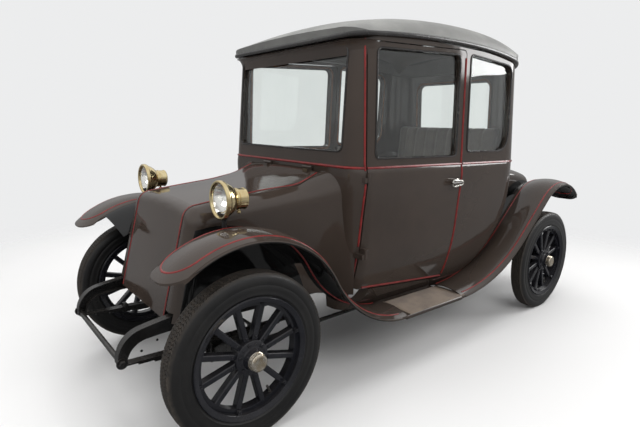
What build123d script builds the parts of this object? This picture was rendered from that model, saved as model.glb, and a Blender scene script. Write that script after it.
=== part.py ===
"""Light electric coupe of the late nineteen-tens, built as separate pieces.

Millimetres. X points forward, Y to the left and Z up. The ground is z = 0 and
x = 0 lies midway between the axles.
"""
from build123d import *
from math import asin, cos, degrees, radians, sin, sqrt
import os

os.makedirs("parts", exist_ok=True)

# Wheels and axles
WHEEL_BASE = 2667
TRACK = 1322
TYRE_RADIUS = 381
TYRE_HALF_WIDTH = 50
RIM_SEAT_RADIUS = 263
RIM_FLANGE_RADIUS = 277
FELLOE_INNER_RADIUS = 232
FELLOE_RADIUS = 252
HUB_FLANGE_RADIUS = 78
HUB_RADIUS = 40
HUB_INNER_END = -49
HUB_CAP_END = 94
SPOKE_COUNT = 12
SPOKE_HALF_WIDTH = 14
SPOKE_HALF_DEPTH = 20
SPOKE_ROUNDING = 7
SPINDLE_RADIUS = 18
RUNNING_CLEARANCE = 0.05
SPINDLE_END = 50
FRONT_AXLE_X = WHEEL_BASE / 2
REAR_AXLE_X = -WHEEL_BASE / 2
AXLE_Z = TYRE_RADIUS

# Chassis
RAIL_Y = 338
RAIL_WIDTH = 44
RAIL_TOP = 520
RAIL_BOTTOM = 445
RAIL_WALL = 6
CHASSIS_HALF_WIDTH = RAIL_Y + RAIL_WIDTH / 2 + 5
CROSSBAR_RADIUS = 12
SPRING_WIDTH = RAIL_WIDTH
LEAF_THICKNESS = 7
LEAF_LENGTHS = (742, 600, 460, 320)
SPRING_SPAN = 441
HORN_X = FRONT_AXLE_X + SPRING_SPAN
HORN_Z = 354
HORN_START_X = 1360
SPRING_EYE_RADIUS = 17
FRONT_BEAM_TOP = 303
FRONT_BEAM_BOTTOM = 252
KINGPIN_Y = 565
KINGPIN_RADIUS = 12
ARM_LENGTH = 150
REAR_TUBE_RADIUS = 40

# Body
BODY_WALL = 38
HOOD_WALL = 14
BELT_Z = 1165
WALL_TOP_Z = 1850
BOARD_TOP = 350
BOARD_THICKNESS = 24
FLOOR_BOTTOM = RAIL_TOP
FLOOR_TOP = 545
DOOR_FRONT_X = 612
DOOR_REAR_X = -215
DOOR_GAP = 6
HINGE_Y = 636
HINGE_RADIUS = 9
LID_HALF_WIDTH = 296
LID_REAR_X = 700
LID_REAR_HALF_WIDTH = 346
DECK_LID_FRONT_X = -988
GLASS_THICKNESS = 6
GLASS_CLEARANCE = 0.5
GLASS_SEAT = 8

# Fenders
FENDER_OUTER_Y = 740
FENDER_INNER_Y = 480
FENDER_CROWN = 27
FENDER_SHEET = 5


def save(name, shape):
    """Write one piece to its own file."""
    export_step(shape, f"parts/{name}.step")


def mirrored(shape):
    """The same piece for the right side."""
    return mirror(shape, about=Plane.XZ)


def block(low, high):
    """A box between two opposite corners."""
    size = [b - a for a, b in zip(low, high)]
    middle = [(a + b) / 2 for a, b in zip(low, high)]
    return Pos(*middle) * Box(*size)


def rod(start, end, radius):
    """A round bar between two points."""
    axis = Vector(*end) - Vector(*start)
    plane = Plane(origin=start, z_dir=axis)
    return extrude(plane * Circle(radius), amount=axis.length)


def polygon(points, plane=Plane.XY):
    """A flat face with straight edges."""
    return plane * make_face(Polyline(*points, close=True))


def rounded_wire(corners, place):
    """A closed wire through corners (u, v, radius), each rounded by an arc."""
    arcs = []
    count = len(corners)
    for index, (u, v, radius) in enumerate(corners):
        here = Vector(u, v)
        before = Vector(*corners[index - 1][:2]) - here
        after = Vector(*corners[(index + 1) % count][:2]) - here
        to_before, to_after = before.normalized(), after.normalized()
        half_angle = radians(to_before.get_angle(to_after)) / 2
        cut = radius * cos(half_angle) / sin(half_angle)
        inward = (to_before + to_after).normalized()
        middle = here + inward * (radius / sin(half_angle) - radius)
        arcs.append((here + to_before * cut, middle, here + to_after * cut))
    edges = []
    for index, (start, middle, end) in enumerate(arcs):
        following = arcs[(index + 1) % count][0]
        ends = [place(p.X, p.Y) for p in (start, middle, end)]
        edges.append(Edge.make_three_point_arc(*ends))
        edges.append(Edge.make_line(ends[2], place(following.X, following.Y)))
    return Wire(edges)


def prism_y(corners, low, high):
    """A rounded outline in side view, (x, z, radius), carried from low to high in Y."""
    wire = rounded_wire(corners, lambda x, z: (x, low, z))
    return Solid.extrude(Face(wire), Vector(0, high - low, 0))


def prism_x(corners, low, high):
    """A rounded outline seen from the front, (y, z, radius), carried along X."""
    wire = rounded_wire(corners, lambda y, z: (low, y, z))
    return Solid.extrude(Face(wire), Vector(high - low, 0, 0))


# Body outline at several heights
# height, half width, front x, rear x, front corner radius, rear corner radius
TUB_SECTIONS = (
    (350, 480, 636, -520, 80, 190),
    (395, 512, 642, -600, 90, 200),
    (470, 545, 650, -725, 100, 215),
    (580, 578, 659, -835, 105, 230),
    (740, 606, 670, -935, 110, 245),
    (940, 621, 681, -990, 110, 250),
    (BELT_Z, 620, 690, -997, 110, 250),
)
CAB_SECTIONS = (
    (BELT_Z, 620, 690, -997, 110, 250),
    (WALL_TOP_Z, 598, 660, -955, 105, 240),
)


def body_loft(sections, inset, low_extra=0.0, high_extra=0.0, ruled=False):
    """The closed body form, with every wall moved inward by inset."""
    wires = []
    last = len(sections) - 1
    for index, (z, half, front, rear, front_r, rear_r) in enumerate(sections):
        level = z - low_extra * (index == 0) + high_extra * (index == last)
        half, front, rear = half - inset, front - inset, rear + inset
        corners = ((front, half, front_r - inset), (rear, half, rear_r - inset),
                   (rear, -half, rear_r - inset), (front, -half, front_r - inset))
        wires.append(rounded_wire(corners, lambda x, y, z=level: (x, y, z)))
    return Solid.make_loft(wires, ruled=ruled)


# Hood and rear deck
# x, half width, height of the top, radius of the long edges
HOOD_SECTIONS = (
    (630, 575, 1158, 118),
    (720, 478, 1118, 128),
    (810, 418, 1086, 115),
    (960, 394, 1052, 98),
    (1200, 387, 1022, 92),
    (1420, 384, 992, 90),
    (1660, 381, 955, 88),
)
DECK_SECTIONS = (
    (-900, 415, 1105, 95),
    (-1060, 396, 1094, 92),
    (-1300, 388, 1074, 90),
    (-1500, 384, 1036, 88),
    (-1780, 380, 960, 86),
)
HOOD_BOTTOM = 480
HOOD_CROWN = 14
HOOD_FACE_RADIUS = 66
HOOD_FACE_TOP = (1462, 926)
HOOD_FACE_BOTTOM = (1565, HOOD_BOTTOM)
DECK_FACE_TOP = (-1610, 926)
DECK_FACE_BOTTOM = (-1700, HOOD_BOTTOM)


def hood_wire(x, half, top, radius, bottom):
    """One cross section: flat bottom, upright sides, rounded edges, crowned top."""
    slant = radius * (1 - sqrt(0.5))
    right = [(half, bottom), (half, top - radius), (half - slant, top - slant),
             (half - radius, top)]
    points = [Vector(x, y, z) for y, z in right]
    other = [Vector(x, -y, z) for y, z in right]
    crown = Vector(x, 0, top + HOOD_CROWN)
    return Wire([
        Edge.make_line(other[0], points[0]),
        Edge.make_line(points[0], points[1]),
        Edge.make_three_point_arc(points[1], points[2], points[3]),
        Edge.make_three_point_arc(points[3], crown, other[3]),
        Edge.make_three_point_arc(other[3], other[2], other[1]),
        Edge.make_line(other[1], other[0]),
    ])


def hood_form(sections, face_top, face_bottom, inset, drop=0.0):
    """The closed form of a hood, cut by its sloping end and rounded there."""
    wires = [hood_wire(x, half - inset, top - inset, radius - inset, HOOD_BOTTOM - drop)
             for x, half, top, radius in sections]
    form = Solid.make_loft(wires)
    ahead = 1 if face_top[0] > 0 else -1
    (top_x, top_z), (bottom_x, bottom_z) = face_top, face_bottom
    slope = (bottom_x - top_x) / (bottom_z - top_z)
    shift = -ahead * inset
    low, high = 300, 1300
    near = [(bottom_x + slope * (z - bottom_z) + shift, z) for z in (low, high)]
    far = [(ahead * 2400, high), (ahead * 2400, low)]
    plane = Plane(origin=(0, 0, 0), x_dir=(1, 0, 0), z_dir=(0, -1, 0))
    cutter = extrude(polygon(near + far, plane), amount=900, both=True)
    form = (Part() + form - cutter).solid()
    end = sorted(form.faces(), key=lambda f: ahead * f.center().X)[-1]
    rounded = [e for e in end.edges() if e.center().Z > HOOD_BOTTOM - drop + 1]
    return form.fillet(HOOD_FACE_RADIUS - inset, rounded)


# Roof
# x, underside of the rim, height of the crown
ROOF_SECTIONS = (
    (706, 1802, 1864),
    (580, 1817, 1922),
    (300, 1842, 1990),
    (-100, 1860, 2034),
    (-480, 1856, 2040),
    (-780, 1826, 2000),
    (-985, 1785, 1890),
)
ROOF_HALF_WIDTH = 612
ROOF_REAR_RADIUS = 250
ROOF_FRONT_RADIUS = 100
ROOF_FRONT_X = 704
ROOF_REAR_X = -972
ROOF_RIM = 16
ROOF_SHELL = 24
ROOF_RIM_WIDTH = 60
ROOF_OVERRUN = 4


def roof_wire(x, underside, crown, lower, inset):
    """One cross section of the roof: a rim, rounded shoulders and a flat crown."""
    half = ROOF_HALF_WIDTH + ROOF_OVERRUN
    rim = underside + ROOF_RIM - inset
    top = crown - inset
    rise = top - rim
    points = [(half, underside - lower), (half, rim), (half - 62, rim + 0.50 * rise),
              (half - 160, rim + 0.74 * rise)]
    right = [Vector(x, y, z) for y, z in points]
    left = [Vector(x, -y, z) for y, z in points]
    return Wire([
        Edge.make_line(left[0], right[0]),
        Edge.make_line(right[0], right[1]),
        Edge.make_three_point_arc(right[1], right[2], right[3]),
        Edge.make_three_point_arc(right[3], Vector(x, 0, top), left[3]),
        Edge.make_three_point_arc(left[3], left[2], left[1]),
        Edge.make_line(left[1], left[0]),
    ])


def roof_form(lower=0.0, inset=0.0):
    return Solid.make_loft([roof_wire(x, under, crown, lower, inset)
                            for x, under, crown in ROOF_SECTIONS])


def roof_plan(inset, low, high):
    """The roof's outline from above as a tall block."""
    half, front, rear = (ROOF_HALF_WIDTH - inset, ROOF_FRONT_X - inset,
                         ROOF_REAR_X + inset)
    corners = ((front, half, ROOF_FRONT_RADIUS - inset * 0.5),
               (rear, half, ROOF_REAR_RADIUS - inset),
               (rear, -half, ROOF_REAR_RADIUS - inset),
               (front, -half, ROOF_FRONT_RADIUS - inset * 0.5))
    wire = rounded_wire(corners, lambda x, y: (x, y, low))
    return Solid.extrude(Face(wire), Vector(0, 0, high - low))


# Doors and windows in side view: x, z, corner radius
DOOR_CORNERS = (
    (DOOR_FRONT_X, 492, 40),
    (DOOR_REAR_X, 408, 30),
    (DOOR_REAR_X, 1838, 30),
    (DOOR_FRONT_X, 1790, 30),
)
DOOR_WINDOW = ((552, 1214, 26), (-152, 1214, 26), (-152, 1806, 40), (552, 1762, 30))
QUARTER_WINDOW = ((-262, 1240, 26), (-742, 1240, 105), (-742, 1796, 60), (-262, 1820, 26))
FRONT_WINDOW = ((505, 1245, 34), (-505, 1245, 34), (-505, 1770, 34), (505, 1770, 34))
REAR_WINDOW = ((330, 1300, 50), (-330, 1300, 50), (-330, 1730, 50), (330, 1730, 50))


def grown(corners, by):
    """An outline moved outward by the same amount on every side."""
    mid_u = sum(c[0] for c in corners) / len(corners)
    mid_v = sum(c[1] for c in corners) / len(corners)
    return [(u + by * (1 if u > mid_u else -1), v + by * (1 if v > mid_v else -1),
             max(r + by, 1)) for u, v, r in corners]


def wall_layer(sections, outer, inner, ruled=True):
    """The part of the wall between two depths from its outer face."""
    return Part() + body_loft(sections, outer, ruled=ruled) \
        - body_loft(sections, inner, 5, 5, ruled=ruled)


GLASS_DEPTH = (BODY_WALL - GLASS_THICKNESS) / 2
glass_layer = wall_layer(CAB_SECTIONS, GLASS_DEPTH, GLASS_DEPTH + GLASS_THICKNESS)
groove_layer = wall_layer(CAB_SECTIONS, GLASS_DEPTH - GLASS_CLEARANCE,
                          GLASS_DEPTH + GLASS_THICKNESS + GLASS_CLEARANCE)


def window(prism, corners, low, high):
    """The opening with its groove, and the pane that sits in the groove."""
    opening = prism(corners, low, high)
    groove = groove_layer & prism(grown(corners, GLASS_SEAT + GLASS_CLEARANCE), low, high)
    pane = glass_layer & prism(grown(corners, GLASS_SEAT), low, high)
    return opening, groove, pane


def lowest(shape):
    """The lowest of a shape's separate solids."""
    return min(shape.solids(), key=lambda s: s.bounding_box().min.Z)


def largest(shape):
    return max(shape.solids(), key=lambda s: s.volume)


# Wheels

def spoke_window(angle):
    """The gap between two spokes: two straight sides joined by two arcs."""
    half = 180 / SPOKE_COUNT

    def corner(radius, way):
        turn = angle + way * (half - degrees(asin(SPOKE_HALF_WIDTH / radius)))
        return around(radius, turn)

    low, high = HUB_FLANGE_RADIUS, FELLOE_INNER_RADIUS
    a, b, c, d = corner(low, -1), corner(high, -1), corner(high, 1), corner(low, 1)
    return Wire([Edge.make_line(a, b), Edge.make_three_point_arc(b, around(high, angle), c),
                 Edge.make_line(c, d), Edge.make_three_point_arc(d, around(low, angle), a)])


def around(radius, angle):
    return Vector(radius * cos(radians(angle)), 0, radius * sin(radians(angle)))


def wheel():
    """Artillery wheel about the Y axis with its outer side towards +Y."""
    bore = SPINDLE_RADIUS + RUNNING_CLEARANCE
    half = SPOKE_HALF_DEPTH
    windows = [spoke_window(360 / SPOKE_COUNT * index) for index in range(SPOKE_COUNT)]
    outer, inner = [Wire([Edge.make_circle(r, Plane.XZ)]) for r in (FELLOE_RADIUS, HUB_RADIUS)]
    wood = Solid.extrude(Face(outer, [inner] + windows), Vector(0, 2 * half, 0))
    wood = wood.moved(Location((0, -half - wood.center().Y + half, 0)))
    edges = [e for e in wood.edges()
             if e.geom_type == GeomType.LINE and abs(abs(e.center().Y) - half) < 1]
    wood = wood.fillet(SPOKE_ROUNDING, edges)
    plate = half + 8
    hub_profile = [
        (bore, HUB_INNER_END), (HUB_RADIUS, HUB_INNER_END), (HUB_RADIUS, -plate),
        (HUB_FLANGE_RADIUS, -plate), (HUB_FLANGE_RADIUS, -half), (HUB_RADIUS, -half),
        (HUB_RADIUS, half), (HUB_FLANGE_RADIUS, half), (HUB_FLANGE_RADIUS, plate),
        (HUB_RADIUS, plate), (HUB_RADIUS, 62), (36, 64), (39, 68), (39, HUB_CAP_END - 7),
        (31, HUB_CAP_END), (0, HUB_CAP_END), (0, SPINDLE_END + 6),
        (bore, SPINDLE_END + 6)]
    rim_profile = [
        (FELLOE_RADIUS, -41), (272, -50), (RIM_FLANGE_RADIUS, -45), (RIM_SEAT_RADIUS, -36),
        (RIM_SEAT_RADIUS, 36), (RIM_FLANGE_RADIUS, 45), (272, 50), (FELLOE_RADIUS, 41)]
    metal = [revolve(polygon(profile), Axis.Y) for profile in (hub_profile, rim_profile)]
    return Part() + wood + metal


def tyre():
    """Pneumatic tyre about the Y axis, seated between the rim's flanges."""
    gap = 0.2
    seat, flange = RIM_SEAT_RADIUS + gap, RIM_FLANGE_RADIUS + gap
    shoulder = TYRE_RADIUS - 5
    side = [
        Line((seat, -35.6), (flange, -43.6)),
        ThreePointArc((flange, -43.6), (322, -TYRE_HALF_WIDTH), (362, -44)),
        ThreePointArc((362, -44), (371, -40), (shoulder, -33)),
        ThreePointArc((shoulder, -33), (TYRE_RADIUS, 0), (shoulder, 33)),
        ThreePointArc((shoulder, 33), (371, 40), (362, 44)),
        ThreePointArc((362, 44), (322, TYRE_HALF_WIDTH), (flange, 43.6)),
        Line((flange, 43.6), (seat, 35.6)),
        Line((seat, 35.6), (seat, -35.6)),
    ]
    return revolve(make_face(side), Axis.Y)


wheel_solid, tyre_solid = wheel(), tyre()
for end, axle_x in (("front", FRONT_AXLE_X), ("rear", REAR_AXLE_X)):
    for side, turn in (("left", 1), ("right", -1)):
        place = Pos(axle_x, turn * TRACK / 2, AXLE_Z) * Rot(0, 0, 0 if turn > 0 else 180)
        save(f"wheel_{end}_{side}", place * wheel_solid)
        save(f"tyre_{end}_{side}", place * tyre_solid)


# Chassis frame

def rail():
    """One pressed channel rail with a curved horn at each end, open inward."""
    plane = Plane(origin=(0, RAIL_Y + RAIL_WIDTH / 2, 0), x_dir=(1, 0, 0), z_dir=(0, -1, 0))
    inner = Plane(origin=(0, RAIL_Y + RAIL_WIDTH / 2 - RAIL_WALL, 0), x_dir=(1, 0, 0),
                  z_dir=(0, -1, 0))
    turns = [((HORN_START_X, RAIL_TOP), (1540, 511), (1690, 487)),
             ((1690, 487), (1760, 445), (1790, 368)),
             ((1752, 352), (1726, 408), (1670, 437)),
             ((1670, 437), (1520, 447), (HORN_START_X, RAIL_BOTTOM))]
    front = [ThreePointArc(*turns[0]), ThreePointArc(*turns[1]), Line(turns[1][2], turns[2][0]),
             ThreePointArc(*turns[2]), ThreePointArc(*turns[3])]
    rear = [mirror(edge, about=Plane.YZ) for edge in front]
    level = [Line((-HORN_START_X, z), (HORN_START_X, z)) for z in (RAIL_TOP, RAIL_BOTTOM)]
    outline = make_face(front + rear + level)
    solid = extrude(plane * outline, amount=RAIL_WIDTH)
    solid -= extrude(inner * offset(outline, -RAIL_WALL), amount=RAIL_WIDTH)
    for way in (1, -1):
        eye = rod((way * HORN_X, RAIL_Y - 30, HORN_Z), (way * HORN_X, RAIL_Y + 30, HORN_Z),
                  SPRING_EYE_RADIUS + 0.3)
        solid -= eye
    return solid


# x and half length of each cross member
CROSS_MEMBERS = ((1240, 25), (930, 25), (430, 22), (-180, 22), (-722, 22), (-1490, 22))
BOARD_BRACKETS_X = (300, -100)
RADIUS_ROD_X = 336


def chassis_frame():
    frame = rail()
    for x in BOARD_BRACKETS_X:
        frame += block((x - 20, RAIL_Y - 15, BOARD_TOP - BOARD_THICKNESS - 18),
                       (x + 20, 700, BOARD_TOP - BOARD_THICKNESS))
        frame += block((x - 20, RAIL_Y - 15, BOARD_TOP - BOARD_THICKNESS - 18),
                       (x + 20, RAIL_Y - 3, RAIL_BOTTOM + 2))
    frame += block((304, 400, BOARD_TOP - BOARD_THICKNESS - 20),
                   (RADIUS_ROD_X, 432, BOARD_TOP - BOARD_THICKNESS))
    frame += mirrored(frame)
    reach = RAIL_Y - RAIL_WIDTH / 2 + 20
    for x, half in CROSS_MEMBERS:
        frame += block((x - half, -reach, RAIL_TOP - 60), (x + half, reach, RAIL_TOP)) \
            - block((x - half + RAIL_WALL, -reach + 26, RAIL_TOP - 70),
                    (x + half - RAIL_WALL, reach - 26, RAIL_TOP - RAIL_WALL))
    for way in (1, -1):
        x = way * HORN_X
        frame += rod((x, -RAIL_Y - 32, HORN_Z), (x, RAIL_Y + 32, HORN_Z), CROSSBAR_RADIUS)
        for side in (1, -1):
            face = RAIL_Y + RAIL_WIDTH / 2
            frame += rod((x, side * face, HORN_Z), (x, side * (face + 6), HORN_Z), 24)
    return frame


save("chassis_frame", chassis_frame())


# Springs

def circle_through(a, b, c):
    """Centre and radius of the circle through three points of a plane."""
    (ax, ay), (bx, by), (cx, cy) = a, b, c
    d = 2 * (ax * (by - cy) + bx * (cy - ay) + cx * (ay - by))
    sa, sb, sc = ax * ax + ay * ay, bx * bx + by * by, cx * cx + cy * cy
    x = (sa * (by - cy) + sb * (cy - ay) + sc * (ay - by)) / d
    y = (sa * (cx - bx) + sb * (ax - cx) + sc * (bx - ax)) / d
    return (x, y), sqrt((ax - x) ** 2 + (ay - y) ** 2)


def leaf_spring(seat_z, axle_half, bolts, plate):
    """Semi-elliptic leaf spring in its own frame, +X towards the horn.

    bolts and plate give the lowest and highest z of the U-bolts and of the plate they clamp.
    """
    main_top = seat_z + LEAF_THICKNESS * (1 + len(LEAF_LENGTHS))
    eye_line = HORN_Z - SPRING_EYE_RADIUS + LEAF_THICKNESS
    ends = (-SPRING_SPAN, eye_line), (0, main_top), (SPRING_SPAN, eye_line)
    (cx, cz), radius = circle_through(*ends)
    plane = Plane(origin=(0, SPRING_WIDTH / 2, 0), x_dir=(1, 0, 0), z_dir=(0, -1, 0))

    def strip(depth, back, ahead):
        points = []
        for r, reach in ((radius + depth, (back, 0, ahead)),
                         (radius + depth + LEAF_THICKNESS, (ahead, 0, back))):
            points.append([(cx + r * sin((x - cx) / r), cz - r * cos((x - cx) / r))
                           for x in reach])
        inner, outer = points
        face = make_face([ThreePointArc(*inner), Line(inner[2], outer[0]),
                          ThreePointArc(*outer), Line(outer[2], inner[0])])
        return extrude(plane * face, amount=SPRING_WIDTH)

    spring = strip(0, -SPRING_SPAN, SPRING_SPAN)
    for index, length in enumerate(LEAF_LENGTHS):
        spring += strip(LEAF_THICKNESS * (index + 1), -length / 2, length / 2)
    for x in (SPRING_SPAN, -SPRING_SPAN):
        spring += rod((x, -SPRING_WIDTH / 2, HORN_Z), (x, SPRING_WIDTH / 2, HORN_Z),
                      SPRING_EYE_RADIUS)
    spring -= rod((SPRING_SPAN, -50, HORN_Z), (SPRING_SPAN, 50, HORN_Z),
                  CROSSBAR_RADIUS + 0.1)
    for side in (1, -1):
        y = side * (SPRING_WIDTH / 2 + 4)
        spring += block((-SPRING_SPAN - 14, min(y - 4, y + 4), HORN_Z),
                        (-SPRING_SPAN + 14, max(y - 4, y + 4), RAIL_BOTTOM))
        for x in (-axle_half - 6.3, axle_half + 6.3):
            spring += rod((x, side * (SPRING_WIDTH / 2 + 6), bolts[0]),
                          (x, side * (SPRING_WIDTH / 2 + 6), bolts[1]), 6)
    return spring + block((-axle_half - 16, -SPRING_WIDTH / 2 - 14, plate[0]),
                          (axle_half + 16, SPRING_WIDTH / 2 + 14, plate[1]))


FRONT_SPRING_TOP = FRONT_BEAM_TOP + 5 * LEAF_THICKNESS
REAR_SPRING_SEAT = AXLE_Z - REAR_TUBE_RADIUS - 5 * LEAF_THICKNESS


def front_spring():
    spring = leaf_spring(FRONT_BEAM_TOP, 22, (FRONT_BEAM_BOTTOM - 6, FRONT_SPRING_TOP + 18),
                         (FRONT_SPRING_TOP, FRONT_SPRING_TOP + 8))
    return Pos(FRONT_AXLE_X, RAIL_Y, 0) * spring


def rear_spring():
    """Hung under the axle tube, with the plate below the leaves."""
    tube_top = AXLE_Z + REAR_TUBE_RADIUS
    spring = leaf_spring(REAR_SPRING_SEAT, REAR_TUBE_RADIUS, (REAR_SPRING_SEAT - 8, tube_top + 16),
                         (tube_top - 2, tube_top + 8))
    tube = rod((0, -60, AXLE_Z), (0, 60, AXLE_Z), REAR_TUBE_RADIUS)
    spring = spring - tube
    spring = spring + block((-56, -SPRING_WIDTH / 2 - 14, REAR_SPRING_SEAT - 8),
                            (56, SPRING_WIDTH / 2 + 14, REAR_SPRING_SEAT + 2))
    return Pos(REAR_AXLE_X, RAIL_Y, 0) * Rot(0, 0, 180) * spring


for end, spring in (("front", front_spring()), ("rear", rear_spring())):
    save(f"spring_{end}_left", spring)
    save(f"spring_{end}_right", mirrored(spring))


# Front axle, knuckles and tie rod
EYE_HALF_HEIGHT = 30
EYE_RADIUS = 26
YOKE_THICKNESS = 19
YOKE_GAP = 0.3
TIE_ROD_Z = AXLE_Z + EYE_HALF_HEIGHT - 8


def front_axle():
    """Dropped forged beam of I section, with an eye at each end."""
    half = [(0, FRONT_BEAM_BOTTOM), (395, FRONT_BEAM_BOTTOM), (528, AXLE_Z - 28),
            (545, AXLE_Z - 28), (545, AXLE_Z + 26), (505, AXLE_Z + 22),
            (372, FRONT_BEAM_TOP), (0, FRONT_BEAM_TOP)]
    plane = Plane(origin=(FRONT_AXLE_X - 22, 0, 0), x_dir=(0, 1, 0), z_dir=(1, 0, 0))
    beam = extrude(polygon(half, plane), amount=44)
    for low, high in ((-22, -10), (10, 22)):
        beam -= block((FRONT_AXLE_X + low, -1, FRONT_BEAM_BOTTOM + 12),
                      (FRONT_AXLE_X + high, 378, FRONT_BEAM_TOP - 12))
    beam += rod((FRONT_AXLE_X, KINGPIN_Y, AXLE_Z - EYE_HALF_HEIGHT),
                (FRONT_AXLE_X, KINGPIN_Y, AXLE_Z + EYE_HALF_HEIGHT), EYE_RADIUS)
    beam -= rod((FRONT_AXLE_X, KINGPIN_Y, AXLE_Z - 60), (FRONT_AXLE_X, KINGPIN_Y, AXLE_Z + 60),
                KINGPIN_RADIUS + RUNNING_CLEARANCE)
    return beam + mirrored(beam)


def knuckle():
    """Steering knuckle: kingpin, two yoke plates, web, spindle and arm."""
    top = AXLE_Z + EYE_HALF_HEIGHT + YOKE_GAP
    low = AXLE_Z - EYE_HALF_HEIGHT - YOKE_GAP
    x, y = FRONT_AXLE_X, KINGPIN_Y
    web_in, web_out = y + EYE_RADIUS + 0.8, y + EYE_RADIUS + 15
    solid = rod((x, y, low - YOKE_THICKNESS - 8), (x, y, top + YOKE_THICKNESS + 8),
                KINGPIN_RADIUS)
    for a, b in ((low - YOKE_THICKNESS, low), (top, top + YOKE_THICKNESS)):
        solid += rod((x, y, a), (x, y, b), 24)
        solid += block((x - 24, y, a), (x + 24, web_out, b))
    solid += block((x - 24, web_in, low - YOKE_THICKNESS), (x + 24, web_out, top + YOKE_THICKNESS))
    solid += rod((x, web_out - 1, AXLE_Z), (x, TRACK / 2 + HUB_INNER_END - 0.5, AXLE_Z), 30)
    solid += rod((x, web_out - 1, AXLE_Z), (x, TRACK / 2 + SPINDLE_END, AXLE_Z), SPINDLE_RADIUS)
    solid += block((x - ARM_LENGTH, y - 12, top), (x, y + 12, top + 14))
    solid += rod((x - ARM_LENGTH, y, top), (x - ARM_LENGTH, y, top + 14), 16)
    solid += rod((x - ARM_LENGTH, y, TIE_ROD_Z - 10), (x - ARM_LENGTH, y, top + 1), 8)
    return solid


def tie_rod():
    x = FRONT_AXLE_X - ARM_LENGTH
    low, high = TIE_ROD_Z - 8, TIE_ROD_Z + 8
    bar = rod((x, -KINGPIN_Y, TIE_ROD_Z), (x, KINGPIN_Y, TIE_ROD_Z), 7.5)
    for y in (KINGPIN_Y, -KINGPIN_Y):
        bar += rod((x, y, low), (x, y, high), 17)
        bar -= rod((x, y, low - 5), (x, y, high + 5), 8 + RUNNING_CLEARANCE)
    return bar


save("front_axle", front_axle())
save("knuckle_left", knuckle())
save("knuckle_right", mirrored(knuckle()))
save("tie_rod", tie_rod())


# Radius rods from the chassis to the front axle

def radius_rod():
    start, end = (RADIUS_ROD_X, 416, 316), (FRONT_AXLE_X - 10, 416, 290)
    return Part() + largest(rod(start, end, 11) - front_axle()
                            - block((0, 380, 200), (RADIUS_ROD_X, 450, 400)))


# Rear axle and motor
MOTOR_RADIUS = 118
MOTOR_FRONT_X = -744
MOTOR_REAR_X = -1140
GEAR_CASE_RADIUS = 124


def rear_axle():
    """Axle tube with the gear case in the middle and a journal at each end."""
    x = REAR_AXLE_X
    end = TRACK / 2 + HUB_INNER_END - 0.5
    axle = rod((x, -end, AXLE_Z), (x, end, AXLE_Z), REAR_TUBE_RADIUS)
    reach = TRACK / 2 + SPINDLE_END
    axle += rod((x, -reach, AXLE_Z), (x, reach, AXLE_Z), SPINDLE_RADIUS)
    case = revolve(make_face([
        Line((0, -170), (60, -170)), ThreePointArc((60, -170), (108, -105), (GEAR_CASE_RADIUS, 0)),
        ThreePointArc((GEAR_CASE_RADIUS, 0), (108, 105), (60, 170)),
        Line((60, 170), (0, 170)), Line((0, 170), (0, -170))]), Axis.Y)
    axle += Pos(x, 0, AXLE_Z) * case
    for side in (1, -1):
        drum = rod((x, side * (end - 52), AXLE_Z), (x, side * end, AXLE_Z), 128)
        axle += drum
    axle += rod((x + 60, 0, AXLE_Z), (MOTOR_REAR_X, 0, AXLE_Z), 44)
    return axle


def drive_motor():
    return rod((MOTOR_FRONT_X, 0, AXLE_Z), (MOTOR_REAR_X, 0, AXLE_Z), MOTOR_RADIUS) \
        + block((MOTOR_FRONT_X - 30, -90, AXLE_Z), (MOTOR_FRONT_X, 90, RAIL_TOP - 8))


save("rear_axle", rear_axle())
save("drive_motor", drive_motor())
save("radius_rod_left", radius_rod())
save("radius_rod_right", mirrored(radius_rod()))

# Batteries stand on the cross members at both ends
save("battery_front", block((905, -270, RAIL_TOP), (1385, 270, 800)))
save("battery_rear", block((-1512, -270, RAIL_TOP), (-1070, 270, 800)))


# Body forms
tub_form = body_loft(TUB_SECTIONS, 0)
tub_void = body_loft(TUB_SECTIONS, BODY_WALL, 2, 2)
hood_outer = hood_form(HOOD_SECTIONS, HOOD_FACE_TOP, HOOD_FACE_BOTTOM, 0)
hood_inner = hood_form(HOOD_SECTIONS, HOOD_FACE_TOP, HOOD_FACE_BOTTOM, HOOD_WALL, 10)
deck_outer = hood_form(DECK_SECTIONS, DECK_FACE_TOP, DECK_FACE_BOTTOM, 0)
deck_inner = hood_form(DECK_SECTIONS, DECK_FACE_TOP, DECK_FACE_BOTTOM, HOOD_WALL, 10)
chassis_space = block((-2000, -CHASSIS_HALF_WIDTH, 200), (2000, CHASSIS_HALF_WIDTH, RAIL_TOP + 4)) \
    - block((-2000, -LID_HALF_WIDTH - DOOR_GAP, 100), (2000, LID_HALF_WIDTH + DOOR_GAP, 900))
hood_shell = Part() + hood_outer - hood_inner - tub_form - chassis_space
hood_shell -= block((500, -700, BELT_Z), (LID_REAR_X, 700, 1300))
deck_shell = Part() + deck_outer - deck_inner - tub_form - chassis_space
DOOR_REACH = (300, 800)

floor_slab = block((-1100, -700, FLOOR_BOTTOM), (800, 700, FLOOR_TOP))
door_hole = prism_y(grown(DOOR_CORNERS, DOOR_GAP / 2), *DOOR_REACH)
door_block = prism_y(grown(DOOR_CORNERS, -DOOR_GAP / 2), *DOOR_REACH)

tub = Part() + tub_form - (Part() + tub_void - floor_slab)
tub -= block((-1100, -CHASSIS_HALF_WIDTH, 200), (800, CHASSIS_HALF_WIDTH, FLOOR_BOTTOM))
door_cut = (Part() + door_hole) \
    & (Part() + tub_form - body_loft(TUB_SECTIONS, BODY_WALL + DOOR_GAP, 2, 2))
tub -= door_cut
tub -= mirrored(door_cut)

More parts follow.
